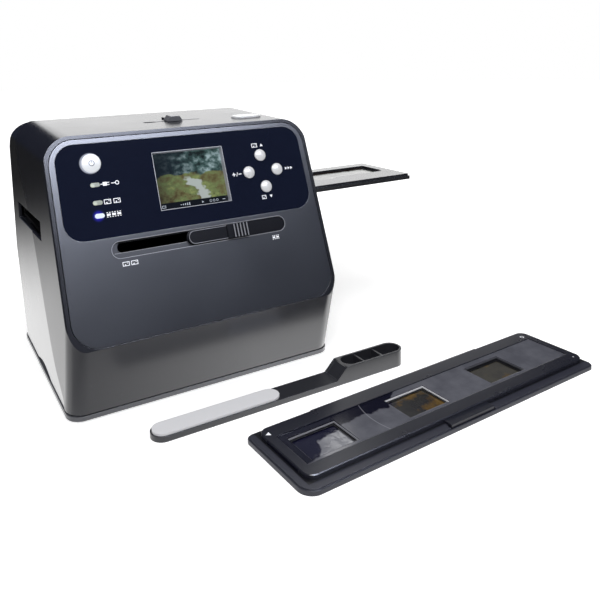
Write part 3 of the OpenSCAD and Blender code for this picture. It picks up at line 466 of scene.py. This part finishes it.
def plug(mesh, u, v):
    """A plug with its cord and two prongs, a wire and a ring."""
    plate(mesh, (u + 1.4, v), (2.6, 2.4))
    for prong in (-0.65, 0.65):
        plate(mesh, (u + 3.5, v + prong), (1.5, SIGN_LINE))
    plate(mesh, (u - 0.65, v), (1.4, 0.5))
    plate(mesh, (u + 6.6, v), (2.4, 0.5))
    hollow(mesh, disc, 0.5, (u + 9.2, v), 1.35)


def plus_minus(mesh, u, v):
    """A plus, a stroke and a minus."""
    plate(mesh, (u - 2.4, v), (2.5, 0.55))
    plate(mesh, (u - 2.4, v + 0.85), (0.55, 0.95))
    plate(mesh, (u - 2.4, v - 0.75), (0.55, 0.95))
    plate(mesh, (u, v), (0.4, 2.9), -0.35)
    plate(mesh, (u + 2.2, v), (2.3, 0.55))


def panel_signs(mesh):
    """The signs right of the three lamps and round the four keys."""
    plug(mesh, SIGNS_U, LAMPS_V[0])
    picture(mesh, SIGNS_U + 1.4, LAMPS_V[1])
    picture(mesh, SIGNS_U + 7.4, LAMPS_V[1])
    filmstrip(mesh, SIGNS_U + 4.2, LAMPS_V[2], frames=3, pitch=3.3, height=3.1)
    u, v = KEYS_AT
    picture(mesh, u - 3.0, v + 18.6, (4.4, 2.9))
    disc(mesh, (u + 2.6, v + 18.3), 1.35, 3)
    plus_minus(mesh, u - 20.6, v - 0.4)
    picture(mesh, u - 3.2, v - 18.6, (3.4, 2.7))
    disc(mesh, (u + 2.4, v - 18.2), 1.3, 3, DOWN)
    for i in range(3):
        disc(mesh, (u + 18.6 + i * 2.2, v - 0.2), 1.2, 3, RIGHT)


def slider_signs(mesh):
    """Two pictures at the slider's left end and a film strip at its right end."""
    picture(mesh, -53.4, SLIDER_SIGNS_V, (4.4, 2.7))
    picture(mesh, -48.0, SLIDER_SIGNS_V, (4.4, 2.7))
    filmstrip(mesh, 53.0, SLIDER_SIGNS_V, frames=2, pitch=2.9, height=2.6)


# Enamel ink is given a painted glow, so that it stays clean white in the dark.
ink = moulded("white enamel ink", INK, 0.35, 0.2, 0.003, edge=0.05)
tree, shader = inside(ink)
shader.inputs["Emission Color"].default_value = linear(INK_GLOW)
shader.inputs["Emission Strength"].default_value = 0.22
flat_piece("panel_signs", panel_signs, ink, "housing", out=0.01)
flat_piece("slider_signs", slider_signs, ink, "housing", out=0.01)

# -------------------------------------------------------- slider's recess
# The recess runs across the fascia, with a ledge along its lower side. Its
# lip and the ledge's edge get painted highlights, and the ledge painted light.
SLIDER_V = -74.4
LIP_HIGHLIGHT_COLOR = "#a4a6ae"
LIT_LEDGE_COLOR = "#565961"
LEDGE_OUT = -2.2


def recess_lip(mesh):
    """The line round the recess."""
    hollow(mesh, rounded, 0.35, (0.7, SLIDER_V), (123.7, 10.9))


def ledge(mesh):
    """The ledge below the slot, left of the slider."""
    plate(mesh, (-33.0, SLIDER_V - 3.3), (52.0, 2.2))


def ledge_edge(mesh):
    """The ledge's upper edge."""
    plate(mesh, (-32.0, SLIDER_V - 1.85), (54.0, 0.3))


# Painted highlights make fine light lines of the edges, and painted light a grey band of the ledge.
lit_ledge = moulded("painted lit ledge ABS", LIT_LEDGE_COLOR, 0.25, 0.3, 0.003, edge=0.05)
edge_highlight = moulded("painted edge highlight ABS", LIP_HIGHLIGHT_COLOR, 0.2, 0.3, 0.003, edge=0.05)
flat_piece("recess_lip", recess_lip, edge_highlight, "housing", out=0.02, thick=0.04)
flat_piece("recess_ledge", ledge, lit_ledge, "housing", out=LEDGE_OUT, thick=0.04)
flat_piece("ledge_edge", ledge_edge, edge_highlight, "housing", out=LEDGE_OUT, thick=0.06)

# --------------------------------------------------------------- screen
# A small colour display in a light grey frame, sunk behind the acrylic. It
# shows a plain landscape: a cloudy sky, a meadow with a brook that comes down
# to the right, and a dark bar of small signs along its lower edge.
SCREEN_AT = (0.0, -34.9)
SCREEN_SIZE = (50.0, 37.9)
SCREEN_DEPTH = 4.45
SCREEN_CORNER = (SCREEN_AT[0] - SCREEN_SIZE[0] / 2, SCREEN_AT[1] - SCREEN_SIZE[1] / 2, 0)
SKY = ((0.38, "#1c2626"), (0.5, "#46605e"), (0.66, "#a9c0c4"))
DUSK = "#131a28"
MEADOW = ((0.34, "#54482c"), (0.46, "#6f6d48"), (0.57, "#748354"), (0.68, "#939c62"))
MEADOW_SPOTS = "#2c2f1c"
MEADOW_SHADE = "#141d20"
BROOK_WATER = "#c3cccb"
BROOK_SLOPE, BROOK_FOOT = -0.6, 0.56
BAR_COLOR = "#101319"
HORIZON = (0.58, 0.61)
BROOK_TOP = (0.56, 0.5)
BAR_TOP = (0.125, 0.115)


def distance_from(tree, value, middle):
    """How far a coordinate lies from a middle, on either side."""
    apart = add(tree, "Math", {0: value, 1: middle}, operation="SUBTRACT")
    return add(tree, "Math", {0: apart.outputs[0]}, operation="ABSOLUTE").outputs[0]


# A lit display glows evenly under a smooth glass face. Across and up run from
# 0 to 1 over the picture, whose clouds and meadow follow one noise.
material, tree, shader = surface("lit colour display")
span = (SCREEN_SIZE[0] * MM, SCREEN_SIZE[1] * MM, SCREEN_SIZE[0] * MM)
vector, (x, y, z) = measured(tree, PANEL, span, SCREEN_CORNER)
ripple = add(tree, "TexNoise", {"Vector": vector, "Scale": 3.2, "Detail": 3.0}).outputs["Fac"]
wash = add(tree, "TexNoise", {"Vector": vector, "Scale": 7.0, "Detail": 5.0, "Roughness": 0.6})
dots = add(tree, "TexVoronoi", {"Vector": vector, "Scale": 26.0}).outputs["Distance"]
clouds = steps(add(tree, "ValToRGB", {0: wash.outputs["Fac"]}), SKY)
dusk = add(tree, "MapRange", {0: x, 1: 0.65, 2: 0.2, 4: 0.9})
sky = add(tree, "Mix", {0: dusk.outputs[0], 6: clouds, 7: linear(DUSK)}, data_type="RGBA")
grass = steps(add(tree, "ValToRGB", {0: wash.outputs["Fac"]}), MEADOW)
speck = add(tree, "MapRange", {0: dots, 1: 0.12, 2: 0.28, 3: 0.75, 4: 0.0})
low = add(tree, "MapRange", {0: y, 1: 0.34, 2: 0.24})
spots = add(tree, "Math", {0: speck.outputs[0], 1: low.outputs[0]}, operation="MULTIPLY")
field = add(tree, "Mix", {0: spots.outputs[0], 6: grass, 7: linear(MEADOW_SPOTS)}, data_type="RGBA")
wave = add(tree, "MapRange", {0: ripple, 1: 0.3, 2: 0.7, 3: -0.07, 4: 0.07})
ridge = add(tree, "Math", {0: y, 1: wave.outputs[0]}, operation="ADD")
above = add(tree, "MapRange", {0: ridge.outputs[0], 1: HORIZON[0], 2: HORIZON[1]})
view = add(tree, "Mix", {0: above.outputs[0], 6: field.outputs[2], 7: sky.outputs[2]}, data_type="RGBA")

# The brook winds up to the left and narrows with distance. The left side lies
# in shade.
bend = add(tree, "Math", {0: ripple, 1: 0.5, 2: -0.02}, operation="MULTIPLY_ADD")
course = add(tree, "Math", {0: y, 1: BROOK_SLOPE, 2: BROOK_FOOT}, operation="MULTIPLY_ADD")
course = add(tree, "Math", {0: course.outputs[0], 1: bend.outputs[0]}, operation="ADD")
half_width = add(tree, "Math", {0: y, 1: -0.1, 2: 0.1}, operation="MULTIPLY_ADD")
within = add(tree, "Math", {0: half_width.outputs[0], 1: distance_from(tree, x, course.outputs[0])},
             operation="SUBTRACT")
bank = add(tree, "MapRange", {0: within.outputs[0], 2: 0.02, 4: 0.85})
below = add(tree, "MapRange", {0: y, 1: BROOK_TOP[0], 2: BROOK_TOP[1]})
water = add(tree, "Math", {0: bank.outputs[0], 1: below.outputs[0]}, operation="MULTIPLY")
view = add(tree, "Mix", {0: water.outputs[0], 6: view.outputs[2], 7: linear(BROOK_WATER)}, data_type="RGBA")
shady = add(tree, "MapRange", {0: x, 1: 0.38, 2: 0.0, 4: 0.6})
view = add(tree, "Mix", {0: shady.outputs[0], 6: view.outputs[2], 7: linear(MEADOW_SHADE)}, data_type="RGBA")
bar = add(tree, "MapRange", {0: y, 1: BAR_TOP[0], 2: BAR_TOP[1]})
view = add(tree, "Mix", {0: bar.outputs[0], 6: view.outputs[2], 7: linear(BAR_COLOR)}, data_type="RGBA")
tree.links.new(view.outputs[2], shader.inputs["Emission Color"])
shader.inputs["Emission Strength"].default_value = 0.8
shader.inputs["Base Color"].default_value = linear("#0b0e12")
shader.inputs["Roughness"].default_value = 0.07
flat_piece("screen_picture", lambda mesh: plate(mesh, SCREEN_AT, SCREEN_SIZE), material,
           "housing", out=-SCREEN_DEPTH)


def screen_signs(mesh):
    """A card, five rising bars, an arrow, three rings and a dash in the dark bar."""
    v = SCREEN_CORNER[1] + 2.3
    hollow(mesh, plate, 0.3, (-21.5, v), (2.6, 1.7))
    for i in range(5):
        plate(mesh, (-9.5 + i * 1.5, v), (0.7, 0.5 + 0.35 * i))
    disc(mesh, (6.0, v), 0.9, 3, RIGHT)
    for i in range(3):
        hollow(mesh, disc, 0.25, (12.0 + i * 2.4, v), 0.85, 12)
    plate(mesh, (21.8, v), (2.0, 0.45))


# The display's signs glow pale, a little less than the picture's lightest part.
material, tree, shader = surface("lit signs")
shader.inputs["Base Color"].default_value = linear("#20242c")
shader.inputs["Emission Color"].default_value = linear("#c8d2dc")
shader.inputs["Emission Strength"].default_value = 0.6
flat_piece("screen_signs", screen_signs, material, "housing", out=-SCREEN_DEPTH + 0.07)

# The frame is matt grey, so it frames the picture with a light line; the
# display's back is dark and matt.
paint(moulded("matt grey frame ABS", "#a6a8b0", 0.45, 0.4, 0.005, edge=0.1), "screen_bezel")
paint(moulded("matt display back", "#2a3038", 0.5, 0.4, 0.005), "screen_module")

# -------------------------------------------------------- lamps and keys
# Three light pipes of milky acrylic, the lowest one lit; a pearl power key
# with its printed sign; four round keys in silvered pearl ABS.
KEY_COLOR = "#e2e3e6"
PIPE_COLOR = "#8f9586"
PIPE_PAINTED_GLINT = "#e8f0d8"

# Milky acrylic; each unlit pipe has a painted glint at its left end, and the
# lit one glows white all over.
material = moulded("milky acrylic", PIPE_COLOR, 0.3, 0.4, 0.004, edge=0.3)
tree, shader = inside(material)
painted_glints = [halo(tree, on_panel(LAMP_U - 1.8, v - 0.5), 0.4, 2.2, PIPE_PAINTED_GLINT, 0.3, 1.0) for v in LAMPS_V[:2]]
glowing(tree, shader, *painted_glints, halo(tree, on_panel(LAMP_U, LAMPS_V[2]), 3.2, 3.6, "#d5deff", 0.75, 1.0))
paint(material, "indicator_windows")

# Silvered pearl is bright with a small sharp highlight on each dome.
paint(moulded("silvered pearl ABS", KEY_COLOR, 0.24, 0.4, 0.003, edge=0.2),
      "up_button", "down_button", "left_button", "right_button")

# The power key is lit from below, so it's whiter than the four others.
material = moulded("lit pearl ABS", "#dfe2e6", 0.3, 0.4, 0.003, edge=0.3)
tree, shader = inside(material)
shader.inputs["Emission Color"].default_value = linear("#f4f8ff")
shader.inputs["Emission Strength"].default_value = 0.12
paint(material, "power_button")


def power_sign(mesh):
    """A ring with a bar through its top."""
    u, v = POWER_AT
    hollow(mesh, disc, 0.5, (u, v - 0.1), 1.9, 32)
    plate(mesh, (u, v + 0.9), (0.42, 1.5))


# Pad-printed ink is flat grey on the key's pearl.
grey_ink = moulded("grey pad-print ink", "#74787e", 0.4, 0.2, 0.002, edge=0.05)
flat_piece("power_sign", power_sign, grey_ink, "power_key", out=1.04, thick=0.08)

# ------------------------------------------------------------ mode slider
# A cap moulded in ABS with a thumb grip. Its five ridge tops and the rim of
# its raised end carry painted highlights.
CAP_OUT = 1.09
GRIP_OUT = 2.79


def ridge_tops(mesh):
    """The tops of the grip's five ridges."""
    for i in range(5):
        plate(mesh, (22.0 + i * 2.4, SLIDER_V), (0.8, 9.0))


def raised_rim(mesh):
    """The rim of the cap's raised end."""
    hollow(mesh, rounded, 0.4, (6.5, SLIDER_V), (33.6, 8.6))


# Satin ABS leaves the cap nearly black, and its painted highlights are grey.
paint(moulded("satin slider ABS", "#101117", 0.3, 0.45, 0.006, edge=0.4, ior=1.28), "mode_slider")
slider_highlight = moulded("painted highlight ABS", "#8a8c94", 0.25, 0.3, 0.004, edge=0.1)
flat_piece("raised_rim", raised_rim, slider_highlight, "mode_slide", out=CAP_OUT, thick=0.05)
flat_piece("ridge_tops", ridge_tops, slider_highlight, "mode_slide", out=GRIP_OUT, thick=0.06)

# ------------------------------------------------------------ top controls
# A pearl scan key, level with the top, and a grey knob in a slot. Both are
# ABS with a soft shine, so the key is bright and the knob reflects the room.
paint(moulded("pearl scan ABS", KEY_COLOR, 0.25, 0.45, 0.004), "scan_button")
paint(moulded("grey knob ABS", "#6c6d72", 0.3, 0.45, 0.006), "format_slider")

# -------------------------------------------------------------- film tray
# A flat frame moulded in black ABS with a satin face, and a strip of film
# in its channel: a brown base, dark frames and two rows of perforations.
TRAY_AT = (0.106, 0.0335, 0)
FILM_ENDS = (-112.0, 112.0)
FRAME_GAP = (0.5, 0.8)
FRAME_SIDES = (12.2, 11.9)
HOLE_PITCH = 4.75
HOLE_HALF_LENGTH = (1.1, 0.95)
HOLE_HALF_WIDTH = (1.45, 1.3)
HOLE_ROW = 14.2
HOLE_COLOR = "#08080a"
STAIN_ENDS = (-50.0, -40.0)

# Satin ABS with a high shine at a glance turns the tray's face grey and light.
paint(moulded("satin tray ABS", "#1d1e23", 0.24, 0.45, 0.006, ior=1.9), "film_tray")


def film(name, base, tones, blot, pitch, place):
    """Glossy film: frames a pitch apart, in tones along it, with blots and perforations."""
    material, tree, shader = surface(name)
    vector, (x, y, z) = measured(tree, place)
    share = add(tree, "MapRange", {0: x, 1: FILM_ENDS[0], 2: FILM_ENDS[1]})
    tone = steps(add(tree, "ValToRGB", {0: share.outputs[0]}), tones)
    blotch = add(tree, "TexNoise", {"Vector": vector, "Scale": 0.09, "Detail": 3.0}).outputs["Fac"]
    stained = add(tree, "MapRange", {0: blotch, 1: 0.52, 2: 0.66, 4: 0.7})
    beyond = add(tree, "MapRange", {0: x, 1: STAIN_ENDS[0], 2: STAIN_ENDS[1]})
    stained = add(tree, "Math", {0: stained.outputs[0], 1: beyond.outputs[0]}, operation="MULTIPLY")
    shot = add(tree, "Mix", {0: stained.outputs[0], 6: tone, 7: linear(blot)}, data_type="RGBA")
    along = add(tree, "Math", {0: x, 1: pitch / 2}, operation="PINGPONG")
    frame_x = add(tree, "MapRange", {0: along.outputs[0], 1: pitch / 2 - FRAME_GAP[0],
                                     2: pitch / 2 - FRAME_GAP[1]})
    flank = add(tree, "Math", {0: y}, operation="ABSOLUTE").outputs[0]
    frame_y = add(tree, "MapRange", {0: flank, 1: FRAME_SIDES[0], 2: FRAME_SIDES[1]})
    framed = add(tree, "Math", {0: frame_x.outputs[0], 1: frame_y.outputs[0]}, operation="MULTIPLY")
    color = add(tree, "Mix", {0: framed.outputs[0], 6: linear(base), 7: shot.outputs[2]}, data_type="RGBA")
    beat = add(tree, "Math", {0: x, 1: HOLE_PITCH / 2}, operation="PINGPONG")
    hole_x = add(tree, "MapRange", {0: beat.outputs[0], 1: HOLE_HALF_LENGTH[0], 2: HOLE_HALF_LENGTH[1]})
    hole_y = add(tree, "MapRange", {0: distance_from(tree, flank, HOLE_ROW),
                                    1: HOLE_HALF_WIDTH[0], 2: HOLE_HALF_WIDTH[1]})
    hole = add(tree, "Math", {0: hole_x.outputs[0], 1: hole_y.outputs[0]}, operation="MULTIPLY")
    color = add(tree, "Mix", {0: hole.outputs[0], 6: color.outputs[2], 7: linear(HOLE_COLOR)},
                data_type="RGBA")
    sag = add(tree, "Bump", {"Strength": 0.35, "Distance": 1.2 * MM, "Height": blotch})
    tree.links.new(color.outputs[2], shader.inputs["Base Color"])
    tree.links.new(sag.outputs[0], shader.inputs["Normal"])
    shader.inputs["Roughness"].default_value = 0.12
    shader.inputs["IOR"].default_value = 1.5
    return material


# Film is glossy and a little wavy, so a bent glint runs along it.
paint(film("colour film in the tray", "#2c2216", [(0.0, "#1c1d14"), (1.0, "#23241a")], "#3c3c26",
           38.0, Matrix.Translation(TRAY_AT)), "tray_film")

# ----------------------------------------------------- strip holder's cover
# Moulded in black ABS and hinged on a steel pin. The film strip lies open in
# three windows of the channel, which is glossy, with a painted reflection on it.
HOLDER_AT = (0.1093, -0.1667, 0.0)
HOLDER_TURN = math.radians(2.74)
HOLDER = Matrix.Translation(HOLDER_AT) @ Matrix.Rotation(HOLDER_TURN, 4, "Z")
CHANNEL_ENDS = (-110, 114)
CHANNEL_Y = 1.1
CHANNEL_HALF_WIDTH = 15.05
CHANNEL_FLOOR = (5.7, 5.5)
REFLECTION_BORDER = ((-110, -15), (-98, -12), (-89, 3), (-70, 6), (-52, 7.5), (-48, 5), (-34, 5), (-26, 13),
         (-14, 22), (66, 22), (114, 22))
REFLECTION_LOW = -20
REFLECTION_SPAN = 45.0
REFLECTION_WOBBLE = 12.0
CREASE_X = -51.5
CREASE_BEND = 0.012
CREASE_HALF_WIDTH = (0.4, 0.2)


def painted_reflection_mask(tree, vector, along, across):
    """Where the painted reflection turns from dark blue (0) to grey on the channel and the film's own tones
    (1).
    """
    start, end = CHANNEL_ENDS
    share = add(tree, "MapRange", {0: along, 1: start, 2: end})
    border = steps(add(tree, "ValToRGB", {0: share.outputs[0]}),
                   [((x - start) / (end - start), (y - REFLECTION_LOW) / REFLECTION_SPAN) for x, y in REFLECTION_BORDER])
    wobble = add(tree, "TexNoise", {"Vector": vector, "Scale": 0.09, "Detail": 3.0}).outputs["Fac"]
    height = add(tree, "Math", {0: border, 1: REFLECTION_SPAN, 2: REFLECTION_LOW - REFLECTION_WOBBLE / 2},
                 operation="MULTIPLY_ADD")
    height = add(tree, "Math", {0: wobble, 1: REFLECTION_WOBBLE, 2: height.outputs[0]}, operation="MULTIPLY_ADD")
    under = add(tree, "Math", {0: height.outputs[0], 1: across}, operation="SUBTRACT")
    reflected = add(tree, "MapRange", {0: under.outputs[0], 1: -0.8, 2: 0.8})
    cloudy = add(tree, "MapRange", {0: wobble, 1: 0.35, 2: 0.7, 3: 0.7})
    return add(tree, "Math", {0: reflected.outputs[0], 1: cloudy.outputs[0]}, operation="MULTIPLY").outputs[0]


# Satin ABS, nearly black, with a painted reflection on the channel: dark blue
# in places and grey in others. A fine pale crease crosses it.
material = moulded("satin cover ABS", "#1e1f29", 0.28, 0.45, 0.006)
tree, shader = inside(material)
vector, (x, y, z) = measured(tree, HOLDER)
glossy = add(tree, "Mix", {0: painted_reflection_mask(tree, vector, x, y), 6: linear("#10101f"), 7: linear("#65666e")},
             data_type="RGBA")
arc = add(tree, "Math", {0: y, 1: y}, operation="MULTIPLY")
arc = add(tree, "Math", {0: arc.outputs[0], 1: CREASE_BEND, 2: CREASE_X}, operation="MULTIPLY_ADD")
crease = add(tree, "MapRange", {0: distance_from(tree, x, arc.outputs[0]),
                                1: CREASE_HALF_WIDTH[0], 2: CREASE_HALF_WIDTH[1], 4: 0.35})
glossy = add(tree, "Mix", {0: crease.outputs[0], 6: glossy.outputs[2], 7: linear("#a9aab2")},
             data_type="RGBA")
within = add(tree, "Math", {0: distance_from(tree, y, CHANNEL_Y), 1: CHANNEL_HALF_WIDTH},
             operation="LESS_THAN")
sunk = add(tree, "MapRange", {0: z, 1: CHANNEL_FLOOR[0], 2: CHANNEL_FLOOR[1]})
channel = add(tree, "Math", {0: within.outputs[0], 1: sunk.outputs[0]}, operation="MULTIPLY")
both = add(tree, "Mix", {0: channel.outputs[0], 6: feeding(shader, "Base Color"), 7: glossy.outputs[2]},
           data_type="RGBA")
smooth = add(tree, "Mix", {0: channel.outputs[0], 2: feeding(shader, "Roughness"), 3: 0.1})
tree.links.new(both.outputs[2], shader.inputs["Base Color"])
tree.links.new(smooth.outputs[0], shader.inputs["Roughness"])
paint(material, "holder_cover")

# ------------------------------------------------------ strip holder's base
# Moulded in the same ABS, with a ledge round the cover. It is a copy of the
# packed base with two corners drawn tighter, which show the way round.
BASE_SIZE = (240.0, 59.5)
CORNER = 9.0
TIGHT_CORNER = 4.0
CORNER_DEPTH = 1.5
MERGE = 0.001
NEARLY = 0.01
COVER_MIDDLE = (2.4, 1.9)
COVER_HALF = (116.3, 24.9)
GROOVE_SIDE = (1.3, 1.0)
LEDGE_TOP = (3.0, 3.2)
GROOVE_SHADE_COLOR = "#07070c"

# Satin ABS shows the ledge as a dark grey band, and painted shade keeps the
# groove between it and the cover black.
material = moulded("satin holder ABS", "#31323d", 0.36, 0.45, 0.006)
tree, shader = inside(material)
vector, (x, y, z) = measured(tree, HOLDER)
beyond_x = add(tree, "Math", {0: distance_from(tree, x, COVER_MIDDLE[0]), 1: COVER_HALF[0]},
               operation="SUBTRACT")
beyond_y = add(tree, "Math", {0: distance_from(tree, y, COVER_MIDDLE[1]), 1: COVER_HALF[1]},
               operation="SUBTRACT")
beyond = add(tree, "Math", {0: beyond_x.outputs[0], 1: beyond_y.outputs[0]}, operation="MAXIMUM")
groove_shade = add(tree, "MapRange", {0: beyond.outputs[0], 1: GROOVE_SIDE[0], 2: GROOVE_SIDE[1], 4: 0.9})
top = add(tree, "MapRange", {0: z, 1: LEDGE_TOP[0], 2: LEDGE_TOP[1]})
groove_shade = add(tree, "Math", {0: groove_shade.outputs[0], 1: top.outputs[0]}, operation="MULTIPLY")
both = add(tree, "Mix", {0: groove_shade.outputs[0], 6: feeding(shader, "Base Color"), 7: linear(GROOVE_SHADE_COLOR)},
           data_type="RGBA")
tree.links.new(both.outputs[2], shader.inputs["Base Color"])

mesh = bmesh.new()
mesh.from_mesh(NODES["holder_base"].data)
bmesh.ops.remove_doubles(mesh, verts=mesh.verts, dist=MERGE * MM)
bmesh.ops.transform(mesh, matrix=Matrix.Scale(1 / MM, 4) @ HOLDER.inverted(), verts=mesh.verts)
for vert in mesh.verts:
    from_x = abs(vert.co.x) - (BASE_SIZE[0] / 2 - CORNER)
    from_y = abs(vert.co.y) - (BASE_SIZE[1] / 2 - CORNER)
    reach = math.hypot(from_x, from_y)
    in_corner = min(from_x, from_y) > -NEARLY and reach > CORNER - CORNER_DEPTH
    if in_corner and vert.co.x * vert.co.y < 0:
        angle = math.atan2(from_y, from_x)
        reach -= CORNER - TIGHT_CORNER
        vert.co.x = math.copysign(BASE_SIZE[0] / 2 - TIGHT_CORNER + reach * math.cos(angle), vert.co.x)
        vert.co.y = math.copysign(BASE_SIZE[1] / 2 - TIGHT_CORNER + reach * math.sin(angle), vert.co.y)
bmesh.ops.transform(mesh, matrix=HOLDER @ Matrix.Scale(MM, 4), verts=mesh.verts)
piece = placed("holder_base_tight", mesh, material)
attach(piece, "holder")
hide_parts("holder_base")

# ----------------------------------------------- film and windows in holder
# The film strip lies on the base. Each window of the cover has a step all
# round, in the cover's ABS, with a frame of painted shade below and a rim of
# painted light above.
WINDOWS_AT = (-87.0, -15.6, 55.4)
WINDOW_SIZE = (33.0, 22.8)
WINDOW_Y = 0.6
WINDOW_PLAY = 0.04
RIM_OUT, RIM_HEIGHT = 3.9, 0.8
FRAME_OUT, FRAME_HEIGHT = 3.55, 0.06
FRAME_SHADE_COLOR = "#08080c"
COVER_TOP = 6.11
FILM_TONES = ((0.0, "#8a8b91"), (0.25, "#8a8b91"), (0.3, "#454547"), (0.56, "#35342f"),
              (0.62, "#54524a"), (1.0, "#4e4c45"))

# Glossy film, pale grey at its left end and brown with amber blots further on.
# Over part of it lies a painted dark blue reflection.
material = film("colour film in the holder", "#2c2114", FILM_TONES, "#7d6026", 35.6,
                HOLDER @ Matrix.Translation((WINDOWS_AT[1] * MM, WINDOW_Y * MM, 0)))
tree, shader = inside(material)
vector, (x, y, z) = measured(tree, HOLDER)
both = add(tree, "Mix", {0: painted_reflection_mask(tree, vector, x, y), 6: linear("#14142a"),
                         7: feeding(shader, "Base Color")}, data_type="RGBA")
tree.links.new(both.outputs[2], shader.inputs["Base Color"])
paint(material, "film_strip")


def window_ring(name, at, color, line, out, height):
    """A ring along one window's inner walls, in satin ABS whose given colour is painted light and shade."""
    material = moulded("satin ABS, " + name.replace("_", " "), color, 0.3, 0.3, 0.003, edge=0.05)
    size = [length - WINDOW_PLAY for length in WINDOW_SIZE]
    flat_piece(name, lambda mesh: hollow(mesh, plate, line, (at, WINDOW_Y), size), material,
               "holder_lid", out=out, thick=height, place=HOLDER)


# The rims' tones are painted light: the middle one is painted nearly white,
# as if it faced the light, the left one grey and the right one dark.
for side, at, color, line, frame_line in (("left", WINDOWS_AT[0], "#9a9ba2", 0.4, 1.7),
                                          ("middle", WINDOWS_AT[1], "#e6e6ea", 0.5, 1.5),
                                          ("right", WINDOWS_AT[2], "#55565c", 0.3, 2.4)):
    window_ring(side + "_window_rim", at, color, line, RIM_OUT, RIM_HEIGHT)
    window_ring(side + "_window_frame", at, FRAME_SHADE_COLOR, frame_line, FRAME_OUT, FRAME_HEIGHT)


def holder_arrow(mesh):
    """An arrow at the left end that shows which way the holder goes in."""
    disc(mesh, (-110.4, 20.1), 1.9, 3, -RIGHT)


def holder_ring(mesh):
    """A ring and a dot at the right end."""
    hollow(mesh, disc, 0.45, (111.0, 20.2), 1.5, 24)
    disc(mesh, (112.8, -19.0), 0.5, 12)


for name, build in (("holder_arrow", holder_arrow), ("holder_ring", holder_ring)):
    flat_piece(name, build, ink, "holder_lid", out=COVER_TOP, thick=0.04, place=HOLDER)

# ------------------------------------------------------------------ brush
# A one-piece handle moulded in black ABS, with a velvet pad glued on. The
# velvet's pile is finer than 0.1 mm, and is drawn at 0.25 mm so that it shows.
PILE = 0.25

# Satin ABS shows the hollows' walls as grey lines. Velvet is matt white with
# a faint sheen round its rim.
paint(moulded("satin brush ABS", "#2c2d32", 0.3, 0.45, 0.006), "brush_handle")
material = moulded("white velvet", "#dcdcdf", 0.85, PILE, 0.06)
tree, shader = inside(material)
shader.inputs["Sheen Weight"].default_value = 0.25
paint(material, "brush_pad")

# ------------------------------------------------------------ inner pieces
# Circuit boards, matt black parts round the light path, opal light panels,
# and the sockets, screws, hinge pin and camera bracket in brushed steel.
TRACES_PER_METRE = 90.0
BRUSHED = (60.0, 60.0, 4000.0)

# Solder mask is a shiny green film over paler copper traces, which are drawn
# about 0.7 mm wide so that they show.
material = moulded("green solder mask", "#0f4a26", 0.35, 0.5, 0.004)
tree, shader = inside(material)
place = add(tree, "TexCoord")
traces = add(tree, "TexBrick", {"Vector": place.outputs["Object"], "Scale": TRACES_PER_METRE,
                                "Mortar Size": 0.06, "Color1": linear("#0d4222"),
                                "Color2": linear("#115229"), "Mortar": linear("#2c7a44")})
tree.links.new(traces.outputs["Color"], shader.inputs["Base Color"])
paint(material, "button_board", "top_board", "sensor_board", "main_board")

# Matt black swallows stray light, and opal acrylic looks evenly milky.
paint(moulded("matt black ABS", "#151517", 0.6, 0.4, 0.01),
      "film_gate", "lens_barrel", "light_hood", "backlight_carriage")
paint(moulded("opal acrylic", "#eceef2", 0.5, 0.5, 0.004), "backlight_panel", "print_lamps")

# Brushed steel shows fine level lines, drawn 0.25 mm apart so that they show.
material = moulded("brushed steel", "#9fa2a6", 0.3, 0.5, 0.003)
tree, shader = inside(material)
shader.inputs["Metallic"].default_value = 1.0
place = add(tree, "TexCoord")
lines = add(tree, "Mapping", {0: place.outputs["Object"], 3: BRUSHED})
brushed = add(tree, "TexNoise", {"Vector": lines.outputs[0], "Scale": 1.0, "Detail": 2.0})
sheen = add(tree, "MapRange", {0: brushed.outputs["Fac"], 3: 0.22, 4: 0.42})
tree.links.new(sheen.outputs[0], shader.inputs["Roughness"])
paint(material, "camera_bracket", "usb_socket", "card_socket", "case_screws", "hinge_pins")
